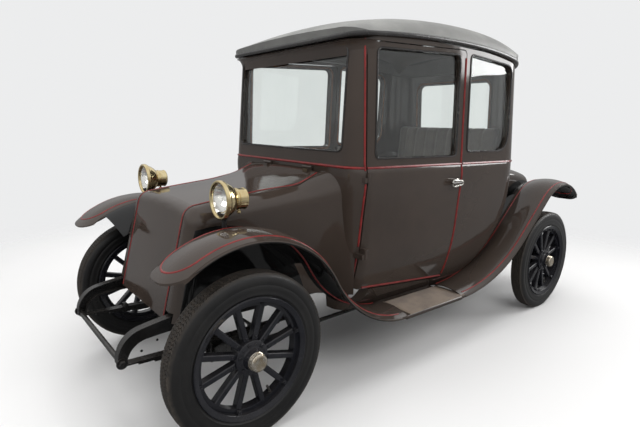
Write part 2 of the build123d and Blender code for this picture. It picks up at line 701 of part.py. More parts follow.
# The floor is scooped out where the lower front corner of an opening door swings
tub_walls = Part() + tub_form - tub_void
door_shell = Part() + tub_walls & (Part() + door_block)
door_box = door_shell.bounding_box()
toe_sweep = HINGE_Y - door_box.min.Y + DOOR_GAP
toe_room = rod((DOOR_FRONT_X, HINGE_Y, door_box.min.Z - DOOR_GAP),
               (DOOR_FRONT_X, HINGE_Y, FLOOR_TOP + 1), toe_sweep) \
    & block((DOOR_FRONT_X - toe_sweep, 0, 0), (DOOR_FRONT_X, HINGE_Y, BELT_Z))
tub -= toe_room
tub -= mirrored(toe_room)


def hood_lid_block(rear_x, grow):
    """The lid's outline from above, wider at the cab, as a tall block."""
    front, rear = LID_HALF_WIDTH + grow, LID_REAR_HALF_WIDTH + grow
    half = [(1800, front, 1), (1030, front, 240), (850, rear, 240), (rear_x, rear, 1)]
    corners = half + [(x, -y, r) for x, y, r in reversed(half)]
    wire = rounded_wire(corners, lambda x, y: (x, y, HOOD_BOTTOM - 20))
    return Solid.extrude(Face(wire), Vector(0, 0, 1320 - HOOD_BOTTOM))


lid_hole = hood_lid_block(LID_REAR_X - 60, DOOR_GAP)
deck_hole = block((-1900, -LID_HALF_WIDTH - DOOR_GAP, HOOD_BOTTOM - 20),
                  (DECK_LID_FRONT_X, LID_HALF_WIDTH + DOOR_GAP, 1300))
body_lower = tub + (hood_shell - lid_hole) + (deck_shell - deck_hole)

# Hood hinges lie across the body at the foot of the windscreen, deck hinges
# at the foot of the rear wall
HOOD_HINGE = (700, 1146)
DECK_HINGE = (-1000, 1124)
HINGE_LENGTH = 40
HINGE_STACK_GAP = 0.3
HINGE_LEAF_REACH = {HOOD_HINGE: -22, DECK_HINGE: 42}
LID_HINGES_Y = (200, -200)


def lid_knuckles(hinge, on_body):
    """Barrels along Y, one half on the body and the other on the lid."""
    x, z = hinge
    barrels = Part()
    for y in LID_HINGES_Y:
        start = y if on_body else y + HINGE_LENGTH + HINGE_STACK_GAP
        barrels += rod((x, start, z), (x, start + HINGE_LENGTH, z), 8)
        if on_body:
            root = x + HINGE_LEAF_REACH[hinge]
            barrels += block((min(x, root), start, z - 7), (max(x, root), start + HINGE_LENGTH, z + 1))
        else:
            ahead = 1 if x > 0 else -1
            barrels += block((min(x, x + ahead * 34), start, z - 30),
                             (max(x, x + ahead * 34), start + HINGE_LENGTH, z - 6))
    return barrels


DOOR_HINGE_HEIGHTS = (690, 1092)
DOOR_HINGE_LENGTH = 26


def door_knuckles(on_body):
    """Upright barrels on the door's front edge, each half on a short leaf."""
    barrels = Part()
    for z in DOOR_HINGE_HEIGHTS:
        low = z if on_body else z + DOOR_HINGE_LENGTH + HINGE_STACK_GAP
        high = low + DOOR_HINGE_LENGTH
        barrels += rod((DOOR_FRONT_X, HINGE_Y, low), (DOOR_FRONT_X, HINGE_Y, high), HINGE_RADIUS)
        reach = 26 if on_body else -26
        leaf = block((min(DOOR_FRONT_X, DOOR_FRONT_X + reach), HINGE_Y - 110, low),
                     (max(DOOR_FRONT_X, DOOR_FRONT_X + reach), HINGE_Y + 2, high))
        barrels += leaf - tub_form - body_loft(CAB_SECTIONS, 0, 2, ruled=True)
    return barrels


body_lower += lid_knuckles(HOOD_HINGE, True)
body_lower += lid_knuckles(DECK_HINGE, True)
body_lower += door_knuckles(True)
body_lower += mirrored(door_knuckles(True))
save("body_lower", body_lower)

hood_lid = (hood_shell & (Part() + hood_lid_block(LID_REAR_X + DOOR_GAP, 0))) \
    + lid_knuckles(HOOD_HINGE, False)
deck_lid = (deck_shell & block((-1900, -LID_HALF_WIDTH, HOOD_BOTTOM - 20),
                               (DECK_LID_FRONT_X - DOOR_GAP, LID_HALF_WIDTH, 1300))) \
    + lid_knuckles(DECK_HINGE, False)
save("hood_lid", hood_lid)
save("deck_lid", deck_lid)

# Upper body, glass and roof
roof_outer = roof_form()
cab_walls = wall_layer(CAB_SECTIONS, 0, BODY_WALL)
FRONT_REACH, REAR_REACH = (500, 800), (-1100, -850)
front_open, front_groove, windscreen = window(prism_x, FRONT_WINDOW, *FRONT_REACH)
rear_open, rear_groove, rear_glass = window(prism_x, REAR_WINDOW, *REAR_REACH)
quarter_open, quarter_groove, quarter_glass = window(prism_y, QUARTER_WINDOW, *DOOR_REACH)
door_open, door_groove, door_glass = window(prism_y, DOOR_WINDOW, *DOOR_REACH)

body_upper = cab_walls - door_hole - mirrored(door_hole)
for cut in (front_open, front_groove, rear_open, rear_groove):
    body_upper -= cut
for cut in (quarter_open, quarter_groove):
    body_upper -= cut
    body_upper -= mirrored(cut)
body_upper -= roof_outer
body_upper = Part() + lowest(body_upper)
save("body_upper", body_upper)
save("windscreen_glass", windscreen)
save("rear_glass", rear_glass)
save("quarter_glass_left", quarter_glass)
save("quarter_glass_right", mirrored(quarter_glass))

roof = Part() + roof_outer & (Part() + roof_plan(0, 1600, 2300))
roof -= roof_form(60, ROOF_SHELL) & (Part() + roof_plan(ROOF_RIM_WIDTH, 1600, 2300))
save("roof", roof)

# Doors
door = door_shell + (cab_walls & (Part() + door_block))
door -= door_open
door -= door_groove
for hinge_z in DOOR_HINGE_HEIGHTS:
    door -= rod((DOOR_FRONT_X, HINGE_Y, hinge_z - HINGE_STACK_GAP),
                (DOOR_FRONT_X, HINGE_Y, hinge_z + DOOR_HINGE_LENGTH + HINGE_STACK_GAP),
                HINGE_RADIUS + HINGE_STACK_GAP)
door += door_knuckles(False)
HANDLE_X, HANDLE_Z = -168, 1052
door += rod((HANDLE_X, 600, HANDLE_Z), (HANDLE_X, 660, HANDLE_Z), 9)
door += rod((HANDLE_X - 14, 656, HANDLE_Z), (HANDLE_X + 82, 656, HANDLE_Z), 8)
save("door_left", door)
save("door_right", mirrored(door))
save("door_glass_left", door_glass)
save("door_glass_right", mirrored(door_glass))

# Fenders and running boards
FRONT_ARC_CENTRE = (FRONT_AXLE_X, 400)
FRONT_ARC_RADIUS = 510
FRONT_TIP_ANGLE = 43
FRONT_LEAVE_ANGLE = 150
REAR_ARC_CENTRE = (-1430, 602)
REAR_ARC_RADIUS = 380
REAR_TIP_ANGLE = 150
REAR_LEAVE_ANGLE = 48
REAR_FLARE_RADIUS = 1100


def on_circle(centre, radius, angle):
    return (centre[0] + radius * cos(radians(angle)), centre[1] + radius * sin(radians(angle)))


def front_path():
    """Arc over the wheel, then a reverse arc that runs out level on the board."""
    start, middle, leave = [on_circle(FRONT_ARC_CENTRE, FRONT_ARC_RADIUS, a) for a in (
        FRONT_TIP_ANGLE, 96, FRONT_LEAVE_ANGLE)]
    lift = sin(radians(FRONT_LEAVE_ANGLE))
    radius = (FRONT_ARC_CENTRE[1] + FRONT_ARC_RADIUS * lift - BOARD_TOP) / (1 - lift)
    centre = on_circle(FRONT_ARC_CENTRE, FRONT_ARC_RADIUS + radius, FRONT_LEAVE_ANGLE)
    turn = [on_circle(centre, radius, a) for a in (
        FRONT_LEAVE_ANGLE - 180, (FRONT_LEAVE_ANGLE - 270) / 2, -90)]
    return [(start, middle, leave), tuple(turn)]


def rear_path():
    """Arc over the wheel, a straight fall, then a wide arc level on the board."""
    start, middle, leave = [on_circle(REAR_ARC_CENTRE, REAR_ARC_RADIUS, a) for a in (
        REAR_TIP_ANGLE, 92, REAR_LEAVE_ANGLE)]
    fall = radians(90 - REAR_LEAVE_ANGLE)
    drop = REAR_FLARE_RADIUS * (1 - cos(fall))
    turn_z = BOARD_TOP + drop
    turn_x = leave[0] + (leave[1] - turn_z) * cos(fall) / sin(fall)
    end_x = turn_x + REAR_FLARE_RADIUS * sin(fall)
    centre = (end_x, BOARD_TOP + REAR_FLARE_RADIUS)
    mid = on_circle(centre, REAR_FLARE_RADIUS, -90 - degrees(fall) / 2)
    return [(start, middle, leave), (leave, (turn_x, turn_z)),
            ((turn_x, turn_z), mid, (end_x, BOARD_TOP))]


def path_edges(pieces):
    edges = []
    for points in pieces:
        ends = [Vector(x, FENDER_OUTER_Y, z) for x, z in points]
        edges.append(Edge.make_line(*ends) if len(ends) == 2
                     else Edge.make_three_point_arc(*ends))
    return Wire(edges)


def swept(pieces, section):
    """Carry a section, (y, outward), along a fender path."""
    path = path_edges(pieces)
    start, ahead = path @ 0, path % 0
    plane = Plane(origin=start, x_dir=(0, 1, 0), z_dir=ahead)
    up = 1 if plane.y_dir.Z > 0 else -1
    face = make_face([edge(*[(y - FENDER_OUTER_Y, up * n) for y, n in points])
                      for edge, points in section])
    return sweep(plane * face, path=path)


def crown_section():
    inner, outer = FENDER_INNER_Y, FENDER_OUTER_Y
    middle, sheet, crown = (inner + outer) / 2, FENDER_SHEET, FENDER_CROWN
    return [
        (ThreePointArc, ((inner, 0), (middle, crown), (outer, 0))),
        (Line, ((outer, 0), (outer, -14))), (Line, ((outer, -14), (outer - 8, -14))),
        (Line, ((outer - 8, -14), (outer - 8, -sheet))),
        (ThreePointArc, ((outer - 8, -sheet), (middle, crown - sheet), (inner, -sheet))),
        (Line, ((inner, -sheet), (inner, 0)))]


def apron(centre, radius, angles):
    """The web between fender and hood side, turned about the arc's centre."""
    inner, foot, drop, sheet = FENDER_INNER_Y + 4, 362, 120, FENDER_SHEET
    first, second = angles
    outward = Vector(cos(radians(first)), 0, sin(radians(first)))
    plane = Plane(origin=(centre[0], 0, centre[1]), x_dir=(0, 1, 0),
                  z_dir=Vector(0, 1, 0).cross(outward))
    upper = (inner, radius), (inner - 66, radius - 34), (foot, radius - drop)
    lower = [(y - 2, r - sheet) for y, r in reversed(upper)]
    face = make_face([ThreePointArc(*upper), Line(upper[-1], lower[0]),
                      ThreePointArc(*lower), Line(lower[-1], upper[0])])
    axis = Axis((centre[0], 0, centre[1]), (0, -1, 0))
    return revolve(plane * face, axis, revolution_arc=second - first)


def fender(pieces, web, blockers):
    solid = swept(pieces, crown_section())
    for other in blockers:
        solid -= other
        web -= other
    return Part() + largest(solid + largest(web))


def tip_round(solid, tip_x, way, radius):
    """Round the free end of a fender in plan by taking off its corners."""
    inner, outer = FENDER_INNER_Y - 20, FENDER_OUTER_Y + 12
    back_x, far_x = tip_x - way * 260, tip_x + way * 300
    corners = ((tip_x, outer, radius), (back_x - way * 40, outer, 1),
               (back_x - way * 40, inner, 1), (tip_x, inner, radius))
    wire = rounded_wire(corners, lambda x, y: (x, y, 400))
    keep = Solid.extrude(Face(wire), Vector(0, 0, 900))
    corner = block((min(back_x, far_x), 300, 500), (max(back_x, far_x), 900, 1200)) - keep
    return Part() + largest(solid - corner)


front_fender = fender(front_path(), apron(FRONT_ARC_CENTRE, FRONT_ARC_RADIUS, (60, 146)),
                      (tub_form, hood_outer))
rear_fender = fender(rear_path(), apron(REAR_ARC_CENTRE, REAR_ARC_RADIUS, (50, 120)),
                     (tub_form, deck_outer))
front_fender = tip_round(front_fender, 1712, 1, 132)
rear_fender = tip_round(rear_fender, -1764, -1, 132)
save("fender_front_left", front_fender)
save("fender_front_right", mirrored(front_fender))
save("fender_rear_left", rear_fender)
save("fender_rear_right", mirrored(rear_fender))

board_front_x = front_path()[-1][-1][0]
board_rear_x = rear_path()[-1][-1][0]
board = block((board_rear_x, FENDER_INNER_Y - 28, BOARD_TOP - BOARD_THICKNESS),
              (board_front_x, FENDER_OUTER_Y, BOARD_TOP))
board = fillet(board.edges().filter_by(Axis.X).sort_by(Axis.Y)[-2:], 8)
save("running_board_left", board)
save("running_board_right", mirrored(board))

# Headlamps
LAMP_CENTRE = (1370, 467, 1040)
LAMP_RADIUS = 88


def headlamp():
    """Spun drum lamp facing forward, on a short post that stands on the fender."""
    r = LAMP_RADIUS
    profile = make_face([
        Line((0, 0), (r - 10, 0)), Line((r - 10, 0), (r, -4)), Line((r, -4), (r, -18)),
        Line((r, -18), (r - 8, -24)),
        ThreePointArc((r - 8, -24), (r - 26, -66), (r - 44, -84)),
        Line((r - 44, -84), (r - 44, -128)), Line((r - 44, -128), (r - 54, -138)),
        Line((r - 54, -138), (0, -138)), Line((0, -138), (0, 0))])
    lamp = revolve(profile, Axis.Y)
    lamp = Pos(*LAMP_CENTRE) * Rot(0, 0, -90) * lamp
    x, y, z = LAMP_CENTRE
    lamp += rod((x - 30, y, z - r + 14), (x - 30, y, 880), 11)
    lamp += rod((x - 104, y, z - 40), (x - 104, y, z - 62), 9)
    return Part() + largest(lamp - front_fender - hood_outer)


save("headlamp_left", headlamp())
save("headlamp_right", mirrored(headlamp()))

# Seat, tiller and its column
cabin = body_loft(TUB_SECTIONS, BODY_WALL + 0.5, 0, 0)
seat_box = block((-900, -470, FLOOR_TOP), (-350, 470, 850)) \
    - block((-880, -450, FLOOR_TOP - 1), (-370, 450, 830))
seat_box = Part() + largest(seat_box & (Part() + cabin))
save("seat_base", seat_box)
cushion = fillet(block((-780, -468, 850), (-335, 468, 965)).edges(), 30)
save("seat_cushion", cushion)
back = prism_y(((-785, 850.5, 25), (-900, 850.5, 25), (-905, 1410, 30), (-835, 1410, 30)),
               -468, 468)
save("seat_back", back)

COLUMN_X, COLUMN_Y = -120, 470
TILLER_Z = 1010
column = rod((COLUMN_X, COLUMN_Y, FLOOR_TOP), (COLUMN_X, COLUMN_Y, TILLER_Z - 14.3), 16)
column += rod((COLUMN_X, COLUMN_Y, FLOOR_TOP), (COLUMN_X, COLUMN_Y, FLOOR_TOP + 8), 40)
column += rod((COLUMN_X, COLUMN_Y, 930), (COLUMN_X - 20, 210, 930), 9)
column += rod((COLUMN_X - 20, 230, 930), (COLUMN_X - 20, 110, 930), 14)
save("tiller_column", column)
tiller = rod((COLUMN_X, COLUMN_Y, TILLER_Z - 14), (COLUMN_X, COLUMN_Y, TILLER_Z + 14), 24)
tiller += rod((COLUMN_X, COLUMN_Y, TILLER_Z), (COLUMN_X - 20, 190, TILLER_Z), 10)
tiller += rod((COLUMN_X - 20, 205, TILLER_Z), (COLUMN_X - 20, 40, TILLER_Z), 16)
save("tiller", tiller)
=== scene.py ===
import bmesh
import bpy
from math import cos, pi, radians, sin, sqrt
from mathutils import Matrix, Vector
from mathutils.bvhtree import BVHTree


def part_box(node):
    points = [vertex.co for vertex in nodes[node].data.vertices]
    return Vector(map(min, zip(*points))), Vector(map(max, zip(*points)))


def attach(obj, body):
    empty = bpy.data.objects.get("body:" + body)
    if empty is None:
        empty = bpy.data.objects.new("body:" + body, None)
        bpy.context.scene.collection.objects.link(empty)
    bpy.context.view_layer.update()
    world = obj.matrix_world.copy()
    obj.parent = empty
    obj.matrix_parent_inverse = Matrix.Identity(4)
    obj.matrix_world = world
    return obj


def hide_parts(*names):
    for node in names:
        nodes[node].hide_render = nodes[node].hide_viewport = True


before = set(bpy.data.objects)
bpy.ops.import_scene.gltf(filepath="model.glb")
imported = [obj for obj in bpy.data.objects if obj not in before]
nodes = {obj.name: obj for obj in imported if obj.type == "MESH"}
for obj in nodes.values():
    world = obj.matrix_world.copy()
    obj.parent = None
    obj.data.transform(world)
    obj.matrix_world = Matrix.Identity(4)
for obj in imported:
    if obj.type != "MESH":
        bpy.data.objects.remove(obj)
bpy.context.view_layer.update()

SIDES = (("left", 1), ("right", -1))
ENDS = (("front", 1.3335), ("rear", -1.3335))


# Studio and camera
# The car stands on a plain pale floor under large soft lights, and is seen from
# its left front corner, from a little above the belt of the body.

CAMERA_PLACE = Vector((2.3169, 2.3019, 1.3651))
CAMERA_YAW, CAMERA_PITCH, CAMERA_ROLL = -2.2654, -0.1822, 0.0255
CAMERA_LENS = 26.333
BACKDROP = (0.84, 0.845, 0.85)
FLOOR = (0.74, 0.735, 0.73)
DIFFUSE_LIGHT = 0.50
MIRRORED_LOW, MIRRORED_HIGH = 0.42, 1.0
MIRRORED_FLOOR = 0.12
FLOOR_FADE = (2.6, 5.2)

ahead = Vector((cos(CAMERA_PITCH) * cos(CAMERA_YAW), cos(CAMERA_PITCH) * sin(CAMERA_YAW),
                sin(CAMERA_PITCH)))
level_right = ahead.cross(Vector((0, 0, 1))).normalized()
level_up = level_right.cross(ahead)
camera_right = level_right * cos(CAMERA_ROLL) + level_up * sin(CAMERA_ROLL)
camera_up = level_up * cos(CAMERA_ROLL) - level_right * sin(CAMERA_ROLL)
camera = bpy.data.objects.new("camera", bpy.data.cameras.new("camera"))
camera.data.lens = CAMERA_LENS
camera.data.sensor_width = 36
camera.matrix_world = Matrix.Translation(CAMERA_PLACE) \
    @ Matrix((camera_right, camera_up, -ahead)).transposed().to_4x4()
bpy.context.scene.collection.objects.link(camera)
bpy.context.scene.camera = camera
bpy.context.scene.view_settings.view_transform = "Standard"


def node(tree, kind, inputs=None, **settings):
    """Add a node, apply its settings, then fill its inputs with values or links."""
    made = tree.nodes.new(kind)
    for name, value in settings.items():
        setattr(made, name, value)
    for name, value in (inputs or {}).items():
        if isinstance(value, bpy.types.NodeSocket):
            tree.links.new(value, made.inputs[name])
        else:
            made.inputs[name].default_value = value
    return made


def reckon(tree, operation, *values, **settings):
    """The result of one sum over numbers or sockets."""
    return node(tree, "ShaderNodeMath", dict(enumerate(values)), operation=operation,
                **settings).outputs[0]


def soft_light(name, place, target, size, power, mirrored=True):
    """A large lamp turned towards a point of the car, shown in its gloss or not."""
    lamp = bpy.data.lights.new(name, "AREA")
    lamp.shape = "RECTANGLE"
    lamp.size, lamp.size_y = size
    lamp.energy = power
    holder = bpy.data.objects.new(name, lamp)
    turn = (Vector(target) - Vector(place)).to_track_quat("-Z", "Y").to_matrix().to_4x4()
    holder.matrix_world = Matrix.Translation(place) @ turn
    holder.visible_glossy = mirrored
    bpy.context.scene.collection.objects.link(holder)


soft_light("key light", (1.2, 5.0, 4.2), (0, 0, 0.8), (4.5, 2.6), 150, mirrored=False)
soft_light("front light", (6.2, 0.6, 3.2), (0.6, 0, 0.8), (3.0, 2.4), 110, mirrored=False)
soft_light("rear light", (-5.4, 2.4, 3.6), (-0.6, 0, 0.9), (3.0, 2.4), 150)
soft_light("far light", (0.4, -5.0, 3.6), (0, 0, 0.9), (4.0, 2.4), 110, mirrored=False)
soft_light("top light", (0.3, 0.3, 5.6), (0.3, 0, 0), (5.0, 4.0), 190, mirrored=False)

world = bpy.data.worlds.new("studio")
world.use_nodes = True
bpy.context.scene.world = world
studio = world.node_tree
studio.nodes.clear()
path_kind = node(studio, "ShaderNodeLightPath")
seen = reckon(studio, "ADD", path_kind.outputs["Is Camera Ray"],
              path_kind.outputs["Is Transmission Ray"], use_clamp=True)
toward = node(studio, "ShaderNodeTexCoord")
height = node(studio, "ShaderNodeSeparateXYZ", {0: toward.outputs["Generated"]})
mirrored_level = node(studio, "ShaderNodeMapRange", {
    "Value": height.outputs["Z"], "From Min": 0.05, "From Max": 0.55,
    "To Min": MIRRORED_LOW, "To Max": MIRRORED_HIGH}, interpolation_type="SMOOTHSTEP")
dim = node(studio, "ShaderNodeBackground", {"Color": (*BACKDROP, 1), "Strength": DIFFUSE_LIGHT})
bright = node(studio, "ShaderNodeBackground", {"Color": (*BACKDROP, 1), "Strength": 1.0})
mirrored = node(studio, "ShaderNodeBackground", {"Color": (*BACKDROP, 1),
                                                 "Strength": mirrored_level.outputs[0]})
either = node(studio, "ShaderNodeMixShader", {0: path_kind.outputs["Is Glossy Ray"],
                                              1: dim.outputs[0], 2: mirrored.outputs[0]})
shown = node(studio, "ShaderNodeMixShader", {0: seen, 1: either.outputs[0],
                                             2: bright.outputs[0]})
node(studio, "ShaderNodeOutputWorld", {"Surface": shown.outputs[0]})


def new_material(name, colour, roughness, **values):
    """A material whose shader has plain values, ready for its own nodes."""
    material = bpy.data.materials.new(name)
    material.use_nodes = True
    shader = material.node_tree.nodes["Principled BSDF"]
    shader.inputs["Base Color"].default_value = (*colour, 1)
    shader.inputs["Roughness"].default_value = roughness
    for socket, value in values.items():
        shader.inputs[socket.replace("_", " ")].default_value = value
    return material, material.node_tree, shader


def new_object(name, bm, material, sharp=35):
    """An object in the row frame from a finished mesh, smooth except at sharp edges."""
    mesh = bpy.data.meshes.new(name)
    bm.to_mesh(mesh)
    bm.free()
    mesh.materials.append(material)
    mesh.shade_smooth()
    mesh.set_sharp_from_angle(angle=radians(sharp))
    made = bpy.data.objects.new(name, mesh)
    bpy.context.scene.collection.objects.link(made)
    return made


floor_mesh = bmesh.new()
bmesh.ops.create_grid(floor_mesh, x_segments=1, y_segments=1, size=40)
floor_paint, floor_tree, floor_shader = new_material("studio floor", FLOOR, 0.6)
floor_path = node(floor_tree, "ShaderNodeLightPath")
floor_tone = node(floor_tree, "ShaderNodeMix", {
    0: floor_path.outputs["Is Glossy Ray"], 6: (*FLOOR, 1), 7: (*[MIRRORED_FLOOR] * 3, 1)},
    data_type="RGBA")
floor_tree.links.new(floor_tone.outputs[2], floor_shader.inputs["Base Color"])
floor_place = node(floor_tree, "ShaderNodeTexCoord").outputs["Object"]
floor_reach = node(floor_tree, "ShaderNodeVectorMath", {0: floor_place}, operation="LENGTH")
fading = node(floor_tree, "ShaderNodeMapRange", {
    "Value": floor_reach.outputs["Value"], "From Min": FLOOR_FADE[0], "From Max": FLOOR_FADE[1]},
    interpolation_type="SMOOTHSTEP")
clear = node(floor_tree, "ShaderNodeBsdfTransparent")
floor_mix = node(floor_tree, "ShaderNodeMixShader", {
    0: fading.outputs[0], 1: floor_shader.outputs[0], 2: clear.outputs[0]})
floor_tree.links.new(floor_mix.outputs[0],
                     floor_tree.nodes["Material Output"].inputs["Surface"])
new_object("studio_floor", floor_mesh, floor_paint)


# Chassis frame, springs and front axle
# Pressed steel channel rails with curved horns, forged axle beam and leaf springs,
# riveted and bolted together and brushed with black chassis enamel.

def new_group(name, inputs, outputs):
    """A node group with named sockets: inputs are (label, kind, value)."""
    tree = bpy.data.node_groups.new(name, "ShaderNodeTree")
    for label, kind, value in inputs:
        socket = tree.interface.new_socket(label, in_out="INPUT",
                                           socket_type=f"NodeSocket{kind}")
        if value is not None:
            socket.default_value = value
    for label, kind in outputs:
        tree.interface.new_socket(label, in_out="OUTPUT", socket_type=f"NodeSocket{kind}")
    return tree, tree.nodes.new("NodeGroupInput"), tree.nodes.new("NodeGroupOutput")


def cloudy_group():
    """Soft patches between two values, for tone, gloss and stains."""
    tree, given, out = new_group("cloudy patches", (
        ("Vector", "Vector", None), ("Scale", "Float", 4.0), ("Detail", "Float", 4.0),
        ("Low", "Float", 0.0), ("High", "Float", 1.0)), (("Value", "Float"),))
    patches = node(tree, "ShaderNodeTexNoise", {
        "Vector": given.outputs["Vector"], "Scale": given.outputs["Scale"],
        "Detail": given.outputs["Detail"], "Roughness": 0.6})
    spread = node(tree, "ShaderNodeMapRange", {
        "Value": patches.outputs[0], "From Min": 0.36, "From Max": 0.66,
        "To Min": given.outputs["Low"], "To Max": given.outputs["High"]},
        interpolation_type="SMOOTHSTEP")
    tree.links.new(spread.outputs[0], out.inputs["Value"])
    return tree


def dust_and_sheen_group():
    """A mask, most on faces that look up and broken into patches: settled dust, and on the roof
    cloth a painted pale sheen as well.
    """
    tree, given, out = new_group("settled dust and painted sheen", (
        ("Vector", "Vector", None), ("Scale", "Float", 9.0), ("Amount", "Float", 0.5)),
        (("Mask", "Float"),))
    surface = node(tree, "ShaderNodeNewGeometry")
    parts = node(tree, "ShaderNodeSeparateXYZ", {0: surface.outputs["Normal"]})
    upward = node(tree, "ShaderNodeMapRange", {
        "Value": parts.outputs["Z"], "From Min": -0.1, "From Max": 1.0,
        "To Min": 0.12, "To Max": 1.0})
    patches = node(tree, "ShaderNodeGroup", {
        "Vector": given.outputs["Vector"], "Scale": given.outputs["Scale"],
        "Detail": 6.0, "Low": 0.35, "High": 1.0}, node_tree=CLOUDY)
    both = reckon(tree, "MULTIPLY", upward.outputs[0], patches.outputs["Value"])
    mask = reckon(tree, "MULTIPLY", both, given.outputs["Amount"], use_clamp=True)
    tree.links.new(mask, out.inputs["Mask"])
    return tree


CLOUDY = cloudy_group()
DUST_AND_SHEEN = dust_and_sheen_group()
DUST_COLOUR = (0.20, 0.175, 0.15)


def object_place(tree):
    return node(tree, "ShaderNodeTexCoord").outputs["Object"]


def mixed(tree, factor, first, second):
    """One colour where the factor is 0 and another where it is 1."""
    return node(tree, "ShaderNodeMix", {0: factor, 6: first, 7: second},
                data_type="RGBA").outputs[2]


def cloudy(tree, place, scale, **values):
    """Soft patches over a surface, as a value."""
    return node(tree, "ShaderNodeGroup", {"Vector": place, "Scale": scale, **values},
                node_tree=CLOUDY).outputs[0]


def bumped(tree, shader, height, strength, distance):
    """Raise a material's surface by a height."""
    bump = node(tree, "ShaderNodeBump", {"Height": height, "Strength": strength,
                                         "Distance": distance})
    tree.links.new(bump.outputs[0], shader.inputs["Normal"])


def finish(name, tones, gloss, patch=3.0, dust=0.0, ripple=None, metallic=0.0, **values):
    """A hard finish: two tones, two roughnesses, dust and ripples (scale, height)."""
    material, tree, shader = new_material(name, tones[0], gloss[0], Metallic=metallic, **values)
    place = object_place(tree)
    colour = mixed(tree, cloudy(tree, place, patch), (*tones[0], 1), (*tones[1], 1))
    rough = cloudy(tree, place, patch * 2.3, Detail=7.0, Low=gloss[0], High=gloss[1])
    if dust:
        dust_and_sheen = node(tree, "ShaderNodeGroup", {"Vector": place, "Amount": dust},
                       node_tree=DUST_AND_SHEEN).outputs[0]
        colour = mixed(tree, dust_and_sheen, colour, (*DUST_COLOUR, 1))
        rough = reckon(tree, "MULTIPLY_ADD", dust_and_sheen, 0.6, rough, use_clamp=True)
    tree.links.new(colour, shader.inputs["Base Color"])
    tree.links.new(rough, shader.inputs["Roughness"])
    if ripple:
        scale, height = ripple
        waves = node(tree, "ShaderNodeTexNoise", {"Vector": place, "Scale": scale,
                                                  "Detail": 3.0})
        bumped(tree, shader, waves.outputs[0], 1.0, height)
    return material


chassis_paint = finish("chassis enamel", ((0.0050, 0.0050, 0.0055), (0.0090, 0.0088, 0.0085)),
                       (0.14, 0.30), patch=5.0, dust=0.12, ripple=(60.0, 0.0005))
bare_steel = finish("worn steel", ((0.30, 0.29, 0.27), (0.16, 0.15, 0.14)), (0.35, 0.55),
                    patch=30.0, metallic=1.0)


def dress(material, *names):
    """Give CAD nodes their finish."""
    for name in names:
        mesh = nodes[name].data
        mesh.materials.clear()
        mesh.materials.append(material)


dress(chassis_paint, "chassis_frame", "front_axle", "knuckle_left", "knuckle_right", "tie_rod",
      "radius_rod_left", "radius_rod_right", "spring_front_left", "spring_front_right",
      "spring_rear_left", "spring_rear_right", "rear_axle")


def turned(bm, profile, steps=24, place=Matrix()):
    """Add a turned shape: profile points (radius, height) go round Z, then are placed."""
    old = set(bm.verts)
    row = [bm.verts.new((r, 0, h)) for r, h in profile]
    edges = [bm.edges.new(pair) for pair in zip(row, row[1:])]
    bmesh.ops.spin(bm, geom=row + edges, cent=(0, 0, 0), axis=(0, 0, 1), dvec=(0, 0, 0),
                   angle=2 * pi, steps=steps, use_merge=True)
    bmesh.ops.remove_doubles(bm, verts=[v for v in bm.verts if v not in old], dist=1e-6)
    made = [v for v in bm.verts if v not in old]
    faces = [f for f in bm.faces if f.verts[0] in set(made)]
    bmesh.ops.recalc_face_normals(bm, faces=faces)
    bmesh.ops.transform(bm, matrix=place, verts=made)
    return made


def aimed(place, direction):
    """A frame at a place, with Z along a direction."""
    turn = Vector(direction).to_track_quat("Z", "Y").to_matrix().to_4x4()
    return Matrix.Translation(place) @ turn


def nut(bm, place, across, height):
    """A hexagon nut with a chamfered top, seated at its place."""
    r = across / sqrt(3)
    turned(bm, ((0, 0), (r, 0), (r, height * 0.78), (r * 0.84, height), (r * 0.45, height),
                (r * 0.42, height * 1.35), (0, height * 1.4)), 6, place)


def rivet(bm, place, radius):
    """A round head."""
    turned(bm, ((radius, -0.001), (radius, 0), (radius * 0.86, radius * 0.38),
                (radius * 0.5, radius * 0.62), (0, radius * 0.7)), 12, place)


def slab(bm, low, high, rounding=0.0, segments=2, place=Matrix()):
    """A box with rounded edges."""
    low, high = Vector(low), Vector(high)
    size = high - low
    made = bmesh.ops.create_cube(bm, size=1, matrix=Matrix.Translation((low + high) / 2)
                                 @ Matrix.Diagonal((*size, 1)))["verts"]
    if rounding:
        edges = list({e for v in made for e in v.link_edges})
        rounded = bmesh.ops.bevel(bm, geom=edges, offset=rounding, offset_type="OFFSET",
                                  affect="EDGES", segments=segments, profile=0.5, material=-1)
        made = list({v for f in rounded["faces"] for v in f.verts} |
                    {v for v in made if v.is_valid})
    bmesh.ops.transform(bm, matrix=place, verts=made)
    return made


def piece(name, bm, body, material, sharp=35):
    """A finished piece of the car that rides on one of its bodies."""
    made = new_object(name, bm, material, sharp)
    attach(made, body)
    return made


RAIL_Y = 0.338
RAIL_HALF_WIDTH = 0.022
HORN_X, HORN_Z = 1.7745, 0.354
FRONT_BEAM_LOW = 0.252
CROSS_MEMBERS_X = (1.24, 0.93, 0.43, -0.18, -0.722, -1.49)
HORN_RIVETS = ((1.46, 0.468), (1.53, 0.450), (1.62, 0.420), (1.69, 0.388))
RAIL_RIVETS_Z = (0.462, 0.502)
SPRING_CLIPS_X = (-0.21, 0.21)

